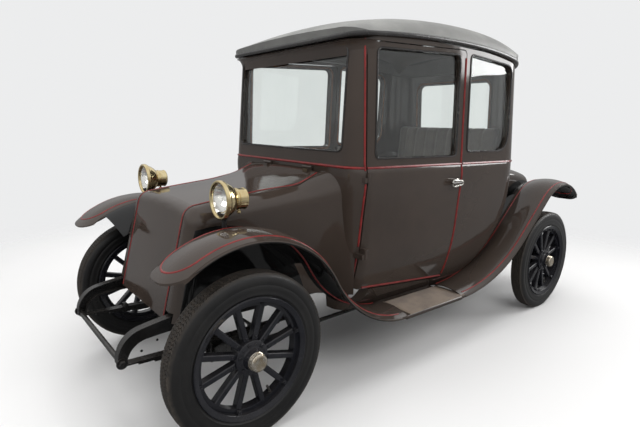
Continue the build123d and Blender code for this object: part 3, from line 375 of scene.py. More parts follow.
hardware = bmesh.new()
for side, way in SIDES:
    face = way * (RAIL_Y + RAIL_HALF_WIDTH)
    outward = (0, way, 0)
    for x in CROSS_MEMBERS_X:
        for dx in (-0.014, 0.014):
            for z in RAIL_RIVETS_Z:
                rivet(hardware, aimed((x + dx, face, z), outward), 0.0065)
    for end in (1, -1):
        nut(hardware, aimed((end * HORN_X, face + way * 0.006, HORN_Z), outward), 0.030, 0.014)
        for x, z in HORN_RIVETS:
            rivet(hardware, aimed((end * x, face, z), outward), 0.006)
    for end, axle_x in ENDS:
        sign = 1 if end == "front" else -1
        back = axle_x - sign * 0.441
        for inner in (1, -1):
            plate = way * RAIL_Y + inner * 0.030
            nut(hardware, aimed((back, plate, HORN_Z), (0, inner, 0)), 0.024, 0.010)
            nut(hardware, aimed((back, plate, 0.435), (0, inner, 0)), 0.020, 0.008)
piece("frame_rivets_and_nuts", hardware, "body", chassis_paint)

spring_nuts = bmesh.new()
for side, way in SIDES:
    for x, half, low in ((1.3335, 0.0283, FRONT_BEAM_LOW - 0.006), (-1.3335, 0.0463, 0.298)):
        for dx in (-half, half):
            for dy in (-0.028, 0.028):
                nut(spring_nuts, aimed((x + dx, way * RAIL_Y + dy, low), (0, 0, -1)),
                    0.019, 0.009)
    for end, axle_x in ENDS:
        for dx in SPRING_CLIPS_X:
            z = 0.332 if end == "front" else 0.334
            slab(spring_nuts, (axle_x + dx - 0.011, way * RAIL_Y - 0.026, z - 0.018),
                 (axle_x + dx + 0.011, way * RAIL_Y + 0.026, z + 0.022), 0.003)
piece("spring_clips_and_nuts", spring_nuts, "body", chassis_paint)


# Wheels
# Twelve-spoke wooden wheels with a steel felloe band, a bolted hub flange and a
# demountable rim held by clamps, all painted blue-black; plated hub caps.

wheel_paint = finish("wheel enamel", ((0.0065, 0.0070, 0.0100), (0.0105, 0.0110, 0.0145)),
                     (0.10, 0.22), patch=12.0, dust=0.08, ripple=(90.0, 0.0003))
cap_plate = finish("worn nickel plate", ((0.74, 0.69, 0.60), (0.60, 0.50, 0.36)), (0.10, 0.30),
                   patch=40.0, metallic=1.0)
brass = finish("polished brass", ((0.84, 0.71, 0.42), (0.72, 0.57, 0.31)), (0.08, 0.20),
               patch=22.0, metallic=1.0)

TRACK = 1.322
WHEEL_Z = 0.381
SPOKES = 12
HUB_PROFILE = ((0.0785, 0.0275), (0.0785, 0.0300), (0.0750, 0.0325), (0.0560, 0.0335),
               (0.0490, 0.0365), (0.0450, 0.0430), (0.0430, 0.0530), (0.0420, 0.0625),
               (0.0395, 0.0635), (0.0380, 0.0600))
CAP_PROFILE = ((0.0365, 0.0600), (0.0405, 0.0630), (0.0412, 0.0660), (0.0396, 0.0675),
               (0.0396, 0.0700), (0.0408, 0.0710), (0.0408, 0.0740), (0.0396, 0.0750),
               (0.0396, 0.0770), (0.0408, 0.0780), (0.0408, 0.0805), (0.0396, 0.0815),
               (0.0396, 0.0830), (0.0406, 0.0840), (0.0400, 0.0875), (0.0370, 0.0915),
               (0.0320, 0.0938), (0.0295, 0.0946), (0.0280, 0.0940), (0, 0.0944))
RIM_CLAMPS = 6
TYRE_SIDE = ((0.2632, 0.0356), (0.2772, 0.0436), (0.2850, 0.0468), (0.2862, 0.0480),
             (0.2900, 0.0484), (0.2915, 0.0478), (0.3080, 0.0496), (0.3250, 0.0499),
             (0.3262, 0.0492), (0.3300, 0.0492), (0.3312, 0.0498), (0.3460, 0.0486),
             (0.3580, 0.0456), (0.3670, 0.0412))
TREAD_HALF_WIDTH = 0.036
TREAD_ROWS = 6
TREAD_RADIUS = 0.3748
TREAD_LOWEST = 0.3710
TREAD_FALL = 0.0022
TREAD_STEPS = 144
BLOCK_HEIGHT = 0.0060
GROOVE_HALF_WIDTH = 0.0023


def tyre_mesh(place):
    """A pneumatic tyre with ribbed walls and zigzag rows of raised tread blocks."""
    half_rows = TREAD_ROWS // 2
    pitch = TREAD_HALF_WIDTH / half_rows
    tread = [(TREAD_RADIUS - TREAD_FALL * (row / half_rows) ** 2, row * pitch)
             for row in range(half_rows, -half_rows - 1, -1)]
    outline = list(TYRE_SIDE) + tread + [(r, -y) for r, y in reversed(TYRE_SIDE)]
    bm = bmesh.new()
    turned(bm, outline + outline[:1], TREAD_STEPS)
    for v in bm.verts:
        row = round(v.co.z / pitch)
        if v.co.xy.length > TREAD_LOWEST and row % 2:
            bmesh.ops.rotate(bm, verts=[v], matrix=Matrix.Rotation(pi / TREAD_STEPS, 3, "Z"))
    blocks = [f for f in bm.faces if min(v.co.xy.length for v in f.verts) > TREAD_LOWEST]
    bmesh.ops.inset_individual(bm, faces=blocks, thickness=GROOVE_HALF_WIDTH, depth=BLOCK_HEIGHT)
    bmesh.ops.transform(bm, matrix=place, verts=bm.verts)
    return bm


def rubber():
    """Black rubber, browned with dry dust only where the tread meets the road."""
    material, tree, shader = new_material("tyre rubber", (0.014, 0.014, 0.015), 0.5)
    place = object_place(tree)
    tone = cloudy(tree, place, 6.0, Detail=4.0)
    black = mixed(tree, tone, (0.0055, 0.0055, 0.0060, 1), (0.0090, 0.0088, 0.0086, 1))
    parts = node(tree, "ShaderNodeSeparateXYZ", {0: place})
    from_axle = reckon(tree, "SUBTRACT", reckon(tree, "ABSOLUTE", parts.outputs["X"]),
                       ENDS[0][1])
    rise = reckon(tree, "SUBTRACT", parts.outputs["Z"], WHEEL_Z)
    flat = node(tree, "ShaderNodeCombineXYZ", {0: from_axle, 1: rise})
    radius = node(tree, "ShaderNodeVectorMath", {0: flat.outputs[0]}, operation="LENGTH")
    road = node(tree, "ShaderNodeMapRange", {"Value": radius.outputs["Value"],
                                             "From Min": 0.362, "From Max": 0.376,
                                             "To Min": 0.04, "To Max": 0.9})
    dusty = reckon(tree, "MULTIPLY", road.outputs[0],
                   cloudy(tree, place, 60.0, Detail=8.0, Low=0.35))
    worn = mixed(tree, dusty, black, (0.050, 0.041, 0.033, 1))
    tree.links.new(worn, shader.inputs["Base Color"])
    rough = node(tree, "ShaderNodeMapRange", {"Value": dusty, "To Min": 0.38,
                                              "To Max": 0.82})
    tree.links.new(rough.outputs[0], shader.inputs["Roughness"])
    grain = node(tree, "ShaderNodeTexNoise", {"Vector": place, "Scale": 400.0, "Detail": 3.0})
    bumped(tree, shader, grain.outputs[0], 0.35, 0.0004)
    return material


tyre_rubber = rubber()
for end, axle_x in ENDS:
    for side, way in SIDES:
        name, body = f"{end}_{side}", f"wheel_{end}_{side}"
        hub = Matrix.Translation((axle_x, way * TRACK / 2, WHEEL_Z)) \
            @ Matrix.Rotation(-way * pi / 2, 4, "X")
        dress(wheel_paint, f"wheel_{name}")

        tyre = piece(f"treaded_tyre_{name}", tyre_mesh(hub), body, tyre_rubber)
        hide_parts(f"tyre_{name}")

        flange = bmesh.new()
        turned(flange, HUB_PROFILE, 40, hub)
        for index in range(SPOKES):
            turn = hub @ Matrix.Rotation(2 * pi * (index + 0.5) / SPOKES, 4, "Z")
            rivet(flange, turn @ Matrix.Translation((0.094, 0, 0.0198)), 0.0062)
            if index % 2:
                nut(flange, turn @ Matrix.Translation((0.0645, 0, 0.0328)), 0.0150, 0.0065)
            else:
                rivet(flange, turn @ Matrix.Translation((0.0645, 0, 0.0328)), 0.0048)
        piece(f"hub_flange_{name}", flange, body, wheel_paint)

        cap = bmesh.new()
        turned(cap, CAP_PROFILE, 48, hub)
        piece(f"hub_cap_{name}", cap, body, cap_plate, 25)

        clamps = bmesh.new()
        for radius, height, thick in ((0.2725, 0.0452, 0.0042), (0.2545, 0.0385, 0.0032)):
            for face in (1, -1):
                ring = bmesh.ops.create_circle(clamps, segments=10, radius=thick)["verts"]
                bmesh.ops.transform(clamps, verts=ring, matrix=Matrix.Translation(
                    (radius, 0, face * height)) @ Matrix.Rotation(pi / 2, 4, "X"))
                loop = ring + list({e for v in ring for e in v.link_edges})
                bmesh.ops.spin(clamps, geom=loop, cent=(0, 0, 0), axis=(0, 0, 1),
                               dvec=(0, 0, 0), angle=2 * pi, steps=96, use_merge=True)
        bmesh.ops.remove_doubles(clamps, verts=clamps.verts, dist=1e-6)
        bmesh.ops.recalc_face_normals(clamps, faces=clamps.faces)
        bmesh.ops.transform(clamps, matrix=hub, verts=clamps.verts)
        for index in range(RIM_CLAMPS):
            turn = hub @ Matrix.Rotation(2 * pi * (index + 0.25) / RIM_CLAMPS, 4, "Z")
            slab(clamps, (0.2345, -0.013, 0.0195), (0.2560, 0.013, 0.0270), 0.003, 2, turn)
            slab(clamps, (0.2440, -0.010, 0.0250), (0.2585, 0.010, 0.0370), 0.003, 2, turn)
            nut(clamps, turn @ Matrix.Translation((0.2420, 0, 0.0270)), 0.0165, 0.0085)
        piece(f"rim_clamps_{name}", clamps, body, wheel_paint)

        valve = bmesh.new()
        stem = hub @ Matrix.Rotation(radians(118), 4, "Z") @ aimed((0.2330, 0, 0.004), (-1, 0, 0))
        turned(valve, ((0, -0.003), (0.0085, -0.003), (0.0085, 0.002), (0.0050, 0.003),
                       (0.0050, 0.022), (0.0062, 0.023), (0.0062, 0.034), (0.0045, 0.037),
                       (0, 0.037)), 16, stem)
        piece(f"valve_stem_{name}", valve, body, bare_steel)


# Batteries, motor and gear case
# Two trays of battery cells stand on the cross members under the lids, and the
# motor drives the rear axle through a cast gear case.

cast_iron = finish("cast iron", ((0.035, 0.035, 0.036), (0.055, 0.052, 0.050)), (0.45, 0.65),
                   patch=18.0, dust=0.45, ripple=(220.0, 0.0012))
battery_wood = finish("battery tray", ((0.030, 0.024, 0.020), (0.050, 0.038, 0.030)),
                      (0.45, 0.60), patch=14.0, dust=0.3)
dress(cast_iron, "drive_motor")
dress(battery_wood, "battery_front", "battery_rear")

for place in ("front", "rear"):
    low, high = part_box(f"battery_{place}")
    cells = bmesh.new()
    columns, rows = 5, 4
    pitch_x, pitch_y = (high.x - low.x - 0.03) / columns, (high.y - low.y - 0.03) / rows
    for column in range(columns):
        for row in range(rows):
            x = low.x + 0.015 + (column + 0.5) * pitch_x
            y = low.y + 0.015 + (row + 0.5) * pitch_y
            slab(cells, (x - pitch_x * 0.46, y - pitch_y * 0.46, high.z - 0.002),
                 (x + pitch_x * 0.46, y + pitch_y * 0.46, high.z + 0.004), 0.003)
            turned(cells, ((0, 0.003), (0.014, 0.003), (0.014, 0.009), (0.010, 0.0098),
                           (0, 0.0098)), 12, Matrix.Translation((x, y, high.z)))
    piece(f"battery_cells_{place}", cells, "body", battery_wood)


# Body, hood, deck, doors and fenders
# Sheet metal over a wooden frame, painted in many coats of taupe-brown and rubbed
# down to a deep gloss; the sheet keeps a slight waviness.

APRON_Y = 0.4775
ARCH_Z = 0.400
SIDEWAYS = 0.85
ARCH_HOLLOWS = (((1.3335, 0, ARCH_Z), 0.505), ((-1.430, 0, 0.602), 0.375))
# painted shade: the black that stands for shade inside the wheel arches and under the fenders
ARCH_PAINTED_SHADE = (0.007, 0.007, 0.007, 1)


def painted_shade_in_arch(tree, place):
    """Painted shade mask: 1 on the apron and on faces that look towards the nearest axle,
    elsewhere 0.
    """
    parts = node(tree, "ShaderNodeSeparateXYZ", {0: place})
    facing = node(tree, "ShaderNodeSeparateXYZ", {
        0: node(tree, "ShaderNodeNewGeometry").outputs["Normal"]})
    away = reckon(tree, "SUBTRACT", reckon(tree, "ABSOLUTE", parts.outputs["X"]), ENDS[0][1])
    rise = reckon(tree, "SUBTRACT", parts.outputs["Z"], ARCH_Z)
    level = reckon(tree, "MULTIPLY", away, reckon(tree, "SIGN", parts.outputs["X"]))
    level = reckon(tree, "MULTIPLY", level, facing.outputs["X"])
    both = reckon(tree, "MULTIPLY_ADD", rise, facing.outputs["Z"], level)
    arch = node(tree, "ShaderNodeMapRange", {"Value": both, "From Min": -0.05,
                                             "From Max": -0.12, "To Min": 0.0, "To Max": 1.0})
    apron = reckon(tree, "LESS_THAN", reckon(tree, "ABSOLUTE", parts.outputs["Y"]), APRON_Y)
    return reckon(tree, "MAXIMUM", arch.outputs[0], apron)


def painted_shade_beneath_fenders(tree, place):
    """Painted shade mask: 1 where paint faces sideways inside a fender's curve, elsewhere 0."""
    parts = node(tree, "ShaderNodeSeparateXYZ", {0: place})
    facing = node(tree, "ShaderNodeSeparateXYZ", {
        0: node(tree, "ShaderNodeNewGeometry").outputs["Normal"]})
    aside = reckon(tree, "GREATER_THAN", reckon(tree, "ABSOLUTE", facing.outputs["Y"]), SIDEWAYS)
    flat = node(tree, "ShaderNodeCombineXYZ", {"X": parts.outputs["X"], "Z": parts.outputs["Z"]})
    inside = []
    for centre, radius in ARCH_HOLLOWS:
        away = node(tree, "ShaderNodeVectorMath", {0: flat.outputs[0], 1: centre},
                    operation="DISTANCE")
        inside.append(reckon(tree, "LESS_THAN", away.outputs["Value"], radius))
    return reckon(tree, "MULTIPLY", reckon(tree, "MAXIMUM", *inside), aside)


def coach_paint(name, arch=False):
    """Taupe-brown coach enamel with a clear, slightly wavy surface, painted black as shade inside
    the wheel arches.
    """
    material, tree, shader = new_material(name, (0.045, 0.036, 0.030), 0.1)
    place = object_place(tree)
    tone = cloudy(tree, place, 1.6)
    colour = mixed(tree, tone, (0.0420, 0.0310, 0.0250, 1), (0.0340, 0.0255, 0.0210, 1))
    dust_and_sheen = node(tree, "ShaderNodeGroup", {"Vector": place, "Scale": 5.0, "Amount": 0.025},
                   node_tree=DUST_AND_SHEEN).outputs[0]
    colour = mixed(tree, dust_and_sheen, colour, (*DUST_COLOUR, 1))
    shaded = painted_shade_in_arch(tree, place) if arch else painted_shade_beneath_fenders(tree, place)
    # painted shade: the paint turns black inside the wheel arches and under the fenders
    colour = mixed(tree, shaded, colour, ARCH_PAINTED_SHADE)
    tree.links.new(colour, shader.inputs["Base Color"])
    rough = cloudy(tree, place, 9.0, Detail=8.0, Low=0.05, High=0.10)
    tree.links.new(rough, shader.inputs["Roughness"])
    waves = node(tree, "ShaderNodeTexNoise", {"Vector": place, "Scale": 5.0, "Detail": 2.0})
    bumped(tree, shader, waves.outputs[0], 0.5, 0.004)
    return material


body_paint = coach_paint("coach enamel")
fender_paint = coach_paint("fender enamel", arch=True)
dress(body_paint, "body_lower", "body_upper", "hood_lid", "deck_lid", "door_left", "door_right")
dress(fender_paint, "fender_front_left", "fender_front_right", "fender_rear_left",
      "fender_rear_right")


# Red mouldings and stripes
# Half-round mouldings cover the belt seam and the door edges; finer painted lines
# follow the lid edges and both edges of each fender, meeting in a loop at its tip.

moulding_red = finish("dark red enamel", ((0.185, 0.018, 0.017), (0.125, 0.0125, 0.0125)),
                      (0.16, 0.26), patch=20.0)

BELT_Z, WALL_TOP_Z = 1.165, 1.850
DOOR_FRONT_X, DOOR_REAR_X = 0.612, -0.215


def from_curve(holder, *spares):
    """The merged mesh of a curve object, which is then removed with its spares."""
    mesh = bpy.data.meshes.new_from_object(
        holder.evaluated_get(bpy.context.evaluated_depsgraph_get()))
    for used in (*spares, holder):
        bpy.data.objects.remove(used)
    bm = bmesh.new()
    bm.from_mesh(mesh)
    bmesh.ops.remove_doubles(bm, verts=bm.verts, dist=1e-6)
    bmesh.ops.recalc_face_normals(bm, faces=bm.faces)
    return bm


def tube(paths, radius, closed=False, sides=2):
    """Round bars along lists of points, as one mesh."""
    curve = bpy.data.curves.new("bar", "CURVE")
    curve.dimensions = "3D"
    curve.bevel_depth = radius
    curve.bevel_resolution = sides
    curve.use_fill_caps = not closed
    for points in paths:
        spline = curve.splines.new("POLY")
        spline.points.add(len(points) - 1)
        for point, co in zip(spline.points, points):
            point.co = (*co, 1)
        spline.use_cyclic_u = closed
    holder = bpy.data.objects.new("bar", curve)
    bpy.context.scene.collection.objects.link(holder)
    return from_curve(holder)


def skin(*names):
    """The outer surface of CAD nodes, for finding where a line lies on them."""
    bm = bmesh.new()
    for name in names:
        bm.from_mesh(nodes[name].data)
    tree = BVHTree.FromBMesh(bm)
    bm.free()
    return tree


def laid(surface, rays, lift=0.0):
    """Where rays (origin, direction) meet a surface, raised a little off it."""
    points = []
    for origin, direction in rays:
        hit, normal, _, _ = surface.ray_cast(Vector(origin), Vector(direction).normalized())
        if hit:
            against = normal if normal.dot(Vector(direction)) < 0 else -normal
            points.append(hit + against * lift)
    return points


def across(points, way):
    """The same points on the left side (1) or the right side (-1)."""
    return [Vector((x, y * way, z)) for x, y, z in points]


def steps(start, end, count):
    return [start + (end - start) * index / count for index in range(count + 1)]


def arc(centre, radius, first, last, count=8):
    """Points on a circle of a plane, between two angles in degrees."""
    return [(centre[0] + radius * cos(radians(a)), centre[1] + radius * sin(radians(a)))
            for a in steps(first, last, count)]


def cab_width(z):
    """Half width of the upper body's outer face at a height."""
    return 0.620 - 0.022 * (z - BELT_Z) / (WALL_TOP_Z - BELT_Z)


def cab_front(z):
    return 0.690 - 0.030 * (z - BELT_Z) / (WALL_TOP_Z - BELT_Z)


def cab_rear(z):
    return -0.997 + 0.042 * (z - BELT_Z) / (WALL_TOP_Z - BELT_Z)


side_skin = skin("body_lower", "body_upper", "door_left")
from_left = (0, -1, 0)
BELT_RADIUS = 0.0072
EDGE_RADIUS = 0.0056
LINE_RADIUS = 0.0060
LINE_SINK = -0.0031

front_corner = arc((0.580, 0.510), 0.110, 67, 0)
front_belt = [Vector((x, y, BELT_Z)) for x, y in front_corner]
front_belt += [Vector((x, -y, BELT_Z)) for x, y in reversed(front_corner)]
rear_corner = arc((-0.747, 0.370), 0.250, 90, 180, 12)
rear_belt = [Vector((-0.222, 0.620, BELT_Z))]
rear_belt += [Vector((x, y, BELT_Z)) for x, y in rear_corner]
rear_belt += [Vector((x, -y, z)) for x, y, z in reversed(rear_belt)]
piece("belt_moulding", tube([front_belt, rear_belt], BELT_RADIUS), "body",
      moulding_red)

HINGE_SPANS = ((0.470, 0.684), (0.750, 1.086), (1.152, 1.800))
post_lines = [laid(side_skin, [((0.6215, 1.0, z), from_left) for z in steps(*span, 16)])
              for span in HINGE_SPANS]
for side, way in SIDES:
    piece(f"door_post_moulding_{side}", tube([across(line, way) for line in post_lines],
                                             EDGE_RADIUS), "body", moulding_red)
    door_belt = laid(side_skin, [((x, 1.0, BELT_Z), from_left) for x in
                                 steps(DOOR_REAR_X + 0.004, DOOR_FRONT_X - 0.004, 12)])
    lock_edge = laid(side_skin, [((DOOR_REAR_X + 0.007, 1.0, z), from_left)
                                 for z in steps(0.440, 1.826, 40)])
    sill = laid(side_skin, [((x, 1.0, 0.4215 + (x - DOOR_REAR_X) * 0.1016), from_left)
                            for x in steps(DOOR_REAR_X + 0.012, DOOR_FRONT_X - 0.008, 16)])
    edges = [across(line, way) for line in (door_belt, lock_edge, sill)]
    mouldings = tube(edges[:1], BELT_RADIUS)
    spare = bpy.data.meshes.new("spare")
    tube(edges[1:], LINE_RADIUS + 0.0006).to_mesh(spare)
    mouldings.from_mesh(spare)
    piece(f"door_mouldings_{side}", mouldings, f"door_{side}", moulding_red)

LID_EDGE_Y = 0.288
LID_WIDE_Y, LID_WIDE_X, LID_NARROW_X = 0.338, 0.820, 1.040
hood_skin = skin("hood_lid")
deck_skin = skin("deck_lid")


def lid_half(x):
    """Half width of the line on a lid: the hood's lid widens in a soft S at the cab."""
    part = min(1.0, max(0.0, (LID_NARROW_X - x) / (LID_NARROW_X - LID_WIDE_X)))
    return LID_EDGE_Y + (LID_WIDE_Y - LID_EDGE_Y) * part * part * (3 - 2 * part) * (x > 0)


def lid_line(surface, ahead, rear_x, turn, low):
    """Down the length of a lid near its edge, round the nose and down its end face."""
    turn_x, turn_z = turn
    rays = [((x, lid_half(x), 1.6), (0, 0, -1)) for x in steps(ahead * rear_x, turn_x, 32)]
    rays += [((turn_x + ahead * cos(radians(a)), LID_EDGE_Y, turn_z + sin(radians(a))),
              (-ahead * cos(radians(a)), 0, -sin(radians(a)))) for a in steps(86, 4, 12)]
    rays += [((ahead * 2.2, LID_EDGE_Y, z), (-ahead, 0, 0)) for z in steps(turn_z, low, 14)]
    return laid(surface, rays, LINE_SINK)


for name, surface, body, ahead_sign, start, turn, low in (
        ("hood", hood_skin, "hood", 1, 0.712, (1.36, 0.84), 0.487),
        ("deck", deck_skin, "deck", -1, 1.002, (-1.50, 0.84), 0.487)):
    line = lid_line(surface, ahead_sign, start, turn, low)
    piece(f"{name}_lines", tube([line, across(line, -1)], LINE_RADIUS), body,
          moulding_red)

FENDER_OUTER_Y, FENDER_INNER_Y = 0.740, 0.480
FRONT_ARC = (1.3335, 0.400), 0.510
FRONT_TIP, FRONT_LEAVE = 43, 150
REAR_ARC = (-1.430, 0.602), 0.380
REAR_TIP, REAR_LEAVE = 150, 48
REAR_FLARE = 1.100
BOARD_TOP = 0.350


def front_fender_ray(s, y):
    """A ray onto the front fender: s runs from the tip (0) to the board (2)."""
    centre, radius = FRONT_ARC
    if s <= 1:
        a = radians(FRONT_TIP + (FRONT_LEAVE - FRONT_TIP) * s)
        far = (centre[0] + cos(a), y, centre[1] + sin(a))
        return far, (-cos(a), 0, -sin(a))
    lift = sin(radians(FRONT_LEAVE))
    flare = (centre[1] + radius * lift - BOARD_TOP) / (1 - lift)
    middle = (centre[0] + (radius + flare) * cos(radians(FRONT_LEAVE)),
              centre[1] + (radius + flare) * lift)
    a = radians(FRONT_LEAVE - 180 + (-90 - FRONT_LEAVE + 180) * (s - 1))
    return (middle[0], y, middle[1]), (cos(a), 0, sin(a))


def rear_fender_ray(s, y):
    """A ray onto the rear fender: arc, straight fall, then the wide arc to the board."""
    centre, radius = REAR_ARC
    fall = radians(90 - REAR_LEAVE)
    leave = (centre[0] + radius * cos(radians(REAR_LEAVE)),
             centre[1] + radius * sin(radians(REAR_LEAVE)))
    turn_z = BOARD_TOP + REAR_FLARE * (1 - cos(fall))
    turn_x = leave[0] + (leave[1] - turn_z) * cos(fall) / sin(fall)
    if s <= 1:
        a = radians(REAR_TIP + (REAR_LEAVE - REAR_TIP) * s)
        return (centre[0] + cos(a), y, centre[1] + sin(a)), (-cos(a), 0, -sin(a))
    if s <= 2:
        x = leave[0] + (turn_x - leave[0]) * (s - 1)
        z = leave[1] + (turn_z - leave[1]) * (s - 1)
        a = radians(REAR_LEAVE)
        return (x + cos(a) * 0.3, y, z + sin(a) * 0.3), (-cos(a), 0, -sin(a))
    middle = (turn_x + REAR_FLARE * sin(fall), BOARD_TOP + REAR_FLARE)
    a = -pi / 2 - fall * (3 - s)
    return (middle[0], y, middle[1]), (cos(a), 0, sin(a))


FENDER_MIDDLE_Y = (FENDER_OUTER_Y + FENDER_INNER_Y) / 2
TIP_RADIUS = 0.132
FRONT_TIP_X, REAR_TIP_X = 1.712, -1.764
LINE_INSET = 0.030
EDGE_BEAD_RADIUS = 0.0065


def tip_rays(tip_x, radius):
    """Rays straight down onto the half circle that ends a fender, from outside in."""
    way = 1 if tip_x > 0 else -1
    centre = tip_x - way * TIP_RADIUS
    return [((centre + way * radius * sin(radians(a)), FENDER_MIDDLE_Y + radius * cos(radians(a)),
              1.6), (0, 0, -1)) for a in steps(0, 180, 28)]


def fender_path(ray, first_s, last_s, tip_x, inset):
    """Along the outer edge of a fender, round its tip and back along the inner edge."""
    outer, inner = FENDER_OUTER_Y - inset, FENDER_INNER_Y + inset
    rays = [ray(s, outer) for s in steps(last_s, first_s, 60)]
    rays += tip_rays(tip_x, (outer - inner) / 2)[1:-1]
    rays += [ray(s, inner) for s in steps(first_s, last_s, 60)]
    return rays


FENDERS = (("front", front_fender_ray, 0.169, 1.93, FRONT_TIP_X),
           ("rear", rear_fender_ray, 0.274, 2.96, REAR_TIP_X))
for end, ray, first_s, last_s, tip_x in FENDERS:
    surface = skin(f"fender_{end}_left")
    line = laid(surface, fender_path(ray, first_s, last_s, tip_x, LINE_INSET), LINE_SINK)
    rays = [ray(s, FENDER_OUTER_Y - 0.003) for s in steps(last_s, first_s, 60)]
    edge = [Vector((p.x, FENDER_OUTER_Y - 0.002, p.z)) + Vector(r[1]).normalized() * 0.009
            for p, r in zip(laid(surface, rays), rays)]
    edge += [p + Vector((0, 0, -0.010)) for p in
             laid(surface, tip_rays(tip_x, TIP_RADIUS - 0.005)[1:])]
    for side, way in SIDES:
        piece(f"fender_lines_{end}_{side}", tube([across(line, way)], LINE_RADIUS), "body",
              moulding_red)
        piece(f"fender_bead_{end}_{side}", tube([across(edge, way)], EDGE_BEAD_RADIUS), "body",
              fender_paint)


# Windows
# Plate glass in the pillars and doors, with a rounded bead round each opening
# outside and a varnished wood garnish rail inside.

def window_glass():
    """Old plate glass: clear, very slightly green and faintly uneven."""
    material, tree, shader = new_material("plate glass", (0.93, 0.96, 0.94), 0.0, IOR=1.45,
                                          Transmission_Weight=1.0)
    place = object_place(tree)
    colour = mixed(tree, cloudy(tree, place, 2.0), (0.94, 0.965, 0.95, 1), (0.91, 0.94, 0.925, 1))
    tree.links.new(colour, shader.inputs["Base Color"])
    waves = node(tree, "ShaderNodeTexNoise", {"Vector": place, "Scale": 4.0, "Detail": 1.0})
    bumped(tree, shader, waves.outputs[0], 0.25, 0.002)
    return material


glass = window_glass()
dress(glass, "windscreen_glass", "rear_glass", "quarter_glass_left", "quarter_glass_right",
      "door_glass_left", "door_glass_right")
bead_paint = finish("window bead enamel", ((0.020, 0.019, 0.019), (0.028, 0.026, 0.025)),
                    (0.16, 0.28), patch=9.0)


def varnished_wood():
    """Red-brown cabinet wood with its grain along the rail, under varnish."""
    material, tree, shader = new_material("varnished wood", (0.16, 0.06, 0.025), 0.25,
                                          Coat_Weight=0.5, Coat_Roughness=0.12)
    stretched = node(tree, "ShaderNodeMapping", {"Vector": object_place(tree),
                                                 "Scale": (2.0, 30.0, 30.0)})
    grain = node(tree, "ShaderNodeTexNoise", {"Vector": stretched.outputs[0], "Scale": 3.0,
                                              "Detail": 8.0, "Distortion": 0.6})
    line = node(tree, "ShaderNodeMapRange", {"Value": grain.outputs[0], "From Min": 0.35,
                                             "From Max": 0.65})
    colour = mixed(tree, line.outputs[0], (0.13, 0.045, 0.018, 1), (0.24, 0.10, 0.042, 1))
    tree.links.new(colour, shader.inputs["Base Color"])
    bumped(tree, shader, line.outputs[0], 0.3, 0.0008)
    return material


wood = varnished_wood()

DOOR_WINDOW = ((0.552, 1.214, 0.026), (-0.152, 1.214, 0.026), (-0.152, 1.806, 0.040),
               (0.552, 1.762, 0.030))
QUARTER_WINDOW = ((-0.262, 1.240, 0.026), (-0.742, 1.240, 0.105), (-0.742, 1.796, 0.060),
                  (-0.262, 1.820, 0.026))
FRONT_WINDOW = ((0.505, 1.245, 0.034), (-0.505, 1.245, 0.034), (-0.505, 1.770, 0.034),
                (0.505, 1.770, 0.034))
REAR_WINDOW = ((0.330, 1.300, 0.050), (-0.330, 1.300, 0.050), (-0.330, 1.730, 0.050),
               (0.330, 1.730, 0.050))
WALL = 0.038


def loop_points(corners, grow=0.0):
    """A rounded outline as points: each corner (u, v, radius) becomes an arc."""
    points = []
    middle = Vector((sum(c[0] for c in corners), sum(c[1] for c in corners))) / len(corners)
    moved = [(u + grow * (1 if u > middle.x else -1), v + grow * (1 if v > middle.y else -1),
              r + grow) for u, v, r in corners]
    for index, (u, v, radius) in enumerate(moved):
        here = Vector((u, v))
        before = (Vector(moved[index - 1][:2]) - here).normalized()
        after = (Vector(moved[(index + 1) % len(moved)][:2]) - here).normalized()
        half = before.angle(after) / 2
        centre = here + (before + after).normalized() * radius / sin(half)
        first = here + before * radius * cos(half) / sin(half) - centre
        last = here + after * radius * cos(half) / sin(half) - centre
        swing = first.angle_signed(last)
        for index_in in range(7):
            turn = Matrix.Rotation(-swing * index_in / 6, 2)
            points.append(centre + turn @ first)
    return points


def window_beads(name, body, outline, on_wall):
    """The outer bead and the inner garnish of one window."""
    outside = [on_wall(u, v, 0.001) for u, v in loop_points(outline, 0.001)]
    piece(f"{name}_bead", tube([outside], 0.0055, closed=True), body, bead_paint)
    inside = [on_wall(u, v, -WALL) for u, v in loop_points(outline, 0.012)]
    piece(f"{name}_garnish", tube([inside], 0.008, closed=True), body, wood)


for side, way in SIDES:
    def beside(u, v, out, way=way):
        return Vector((u, way * (cab_width(v) + out), v))
    window_beads(f"door_window_{side}", f"door_{side}", DOOR_WINDOW, beside)
    window_beads(f"quarter_window_{side}", "body", QUARTER_WINDOW, beside)
window_beads("windscreen", "body", FRONT_WINDOW,
             lambda u, v, out: Vector((cab_front(v) + out, u, v)))
window_beads("rear_window", "body", REAR_WINDOW,
             lambda u, v, out: Vector((cab_rear(v) - out, u, v)))


# Roof
# A domed wooden roof covered in grained leather-cloth, tacked under a painted
# half-round moulding that runs round its edge.

def leather_cloth():
    """Grey-black coated cloth with a pebbled grain, painted paler on its upward faces: part
    settled dust, part painted sheen where the light above falls on it.
    """
    material, tree, shader = new_material("roof leather-cloth", (0.10, 0.10, 0.098), 0.42)
    place = object_place(tree)
    tone = cloudy(tree, place, 2.2, Detail=5.0)
    colour = mixed(tree, tone, (0.085, 0.085, 0.081, 1), (0.120, 0.120, 0.114, 1))
    # painted sheen: the upward faces turn pale grey, part settled dust, part the light the top
    # reflects
    dust_and_sheen = node(tree, "ShaderNodeGroup", {"Vector": place, "Scale": 3.0, "Amount": 0.55},
                   node_tree=DUST_AND_SHEEN).outputs[0]
    colour = mixed(tree, dust_and_sheen, colour, (0.34, 0.34, 0.32, 1))
    tree.links.new(colour, shader.inputs["Base Color"])
    pebbles = node(tree, "ShaderNodeTexVoronoi", {"Vector": place, "Scale": 420.0})
    bumped(tree, shader, pebbles.outputs["Distance"], 0.5, 0.0008)
    return material


roof_cover = leather_cloth()
dress(roof_cover, "roof")

ROOF_HALF, ROOF_FRONT, ROOF_REAR = 0.612, 0.704, -0.972
ROOF_RIM_HALF = 0.008
roof_skin = skin("roof")


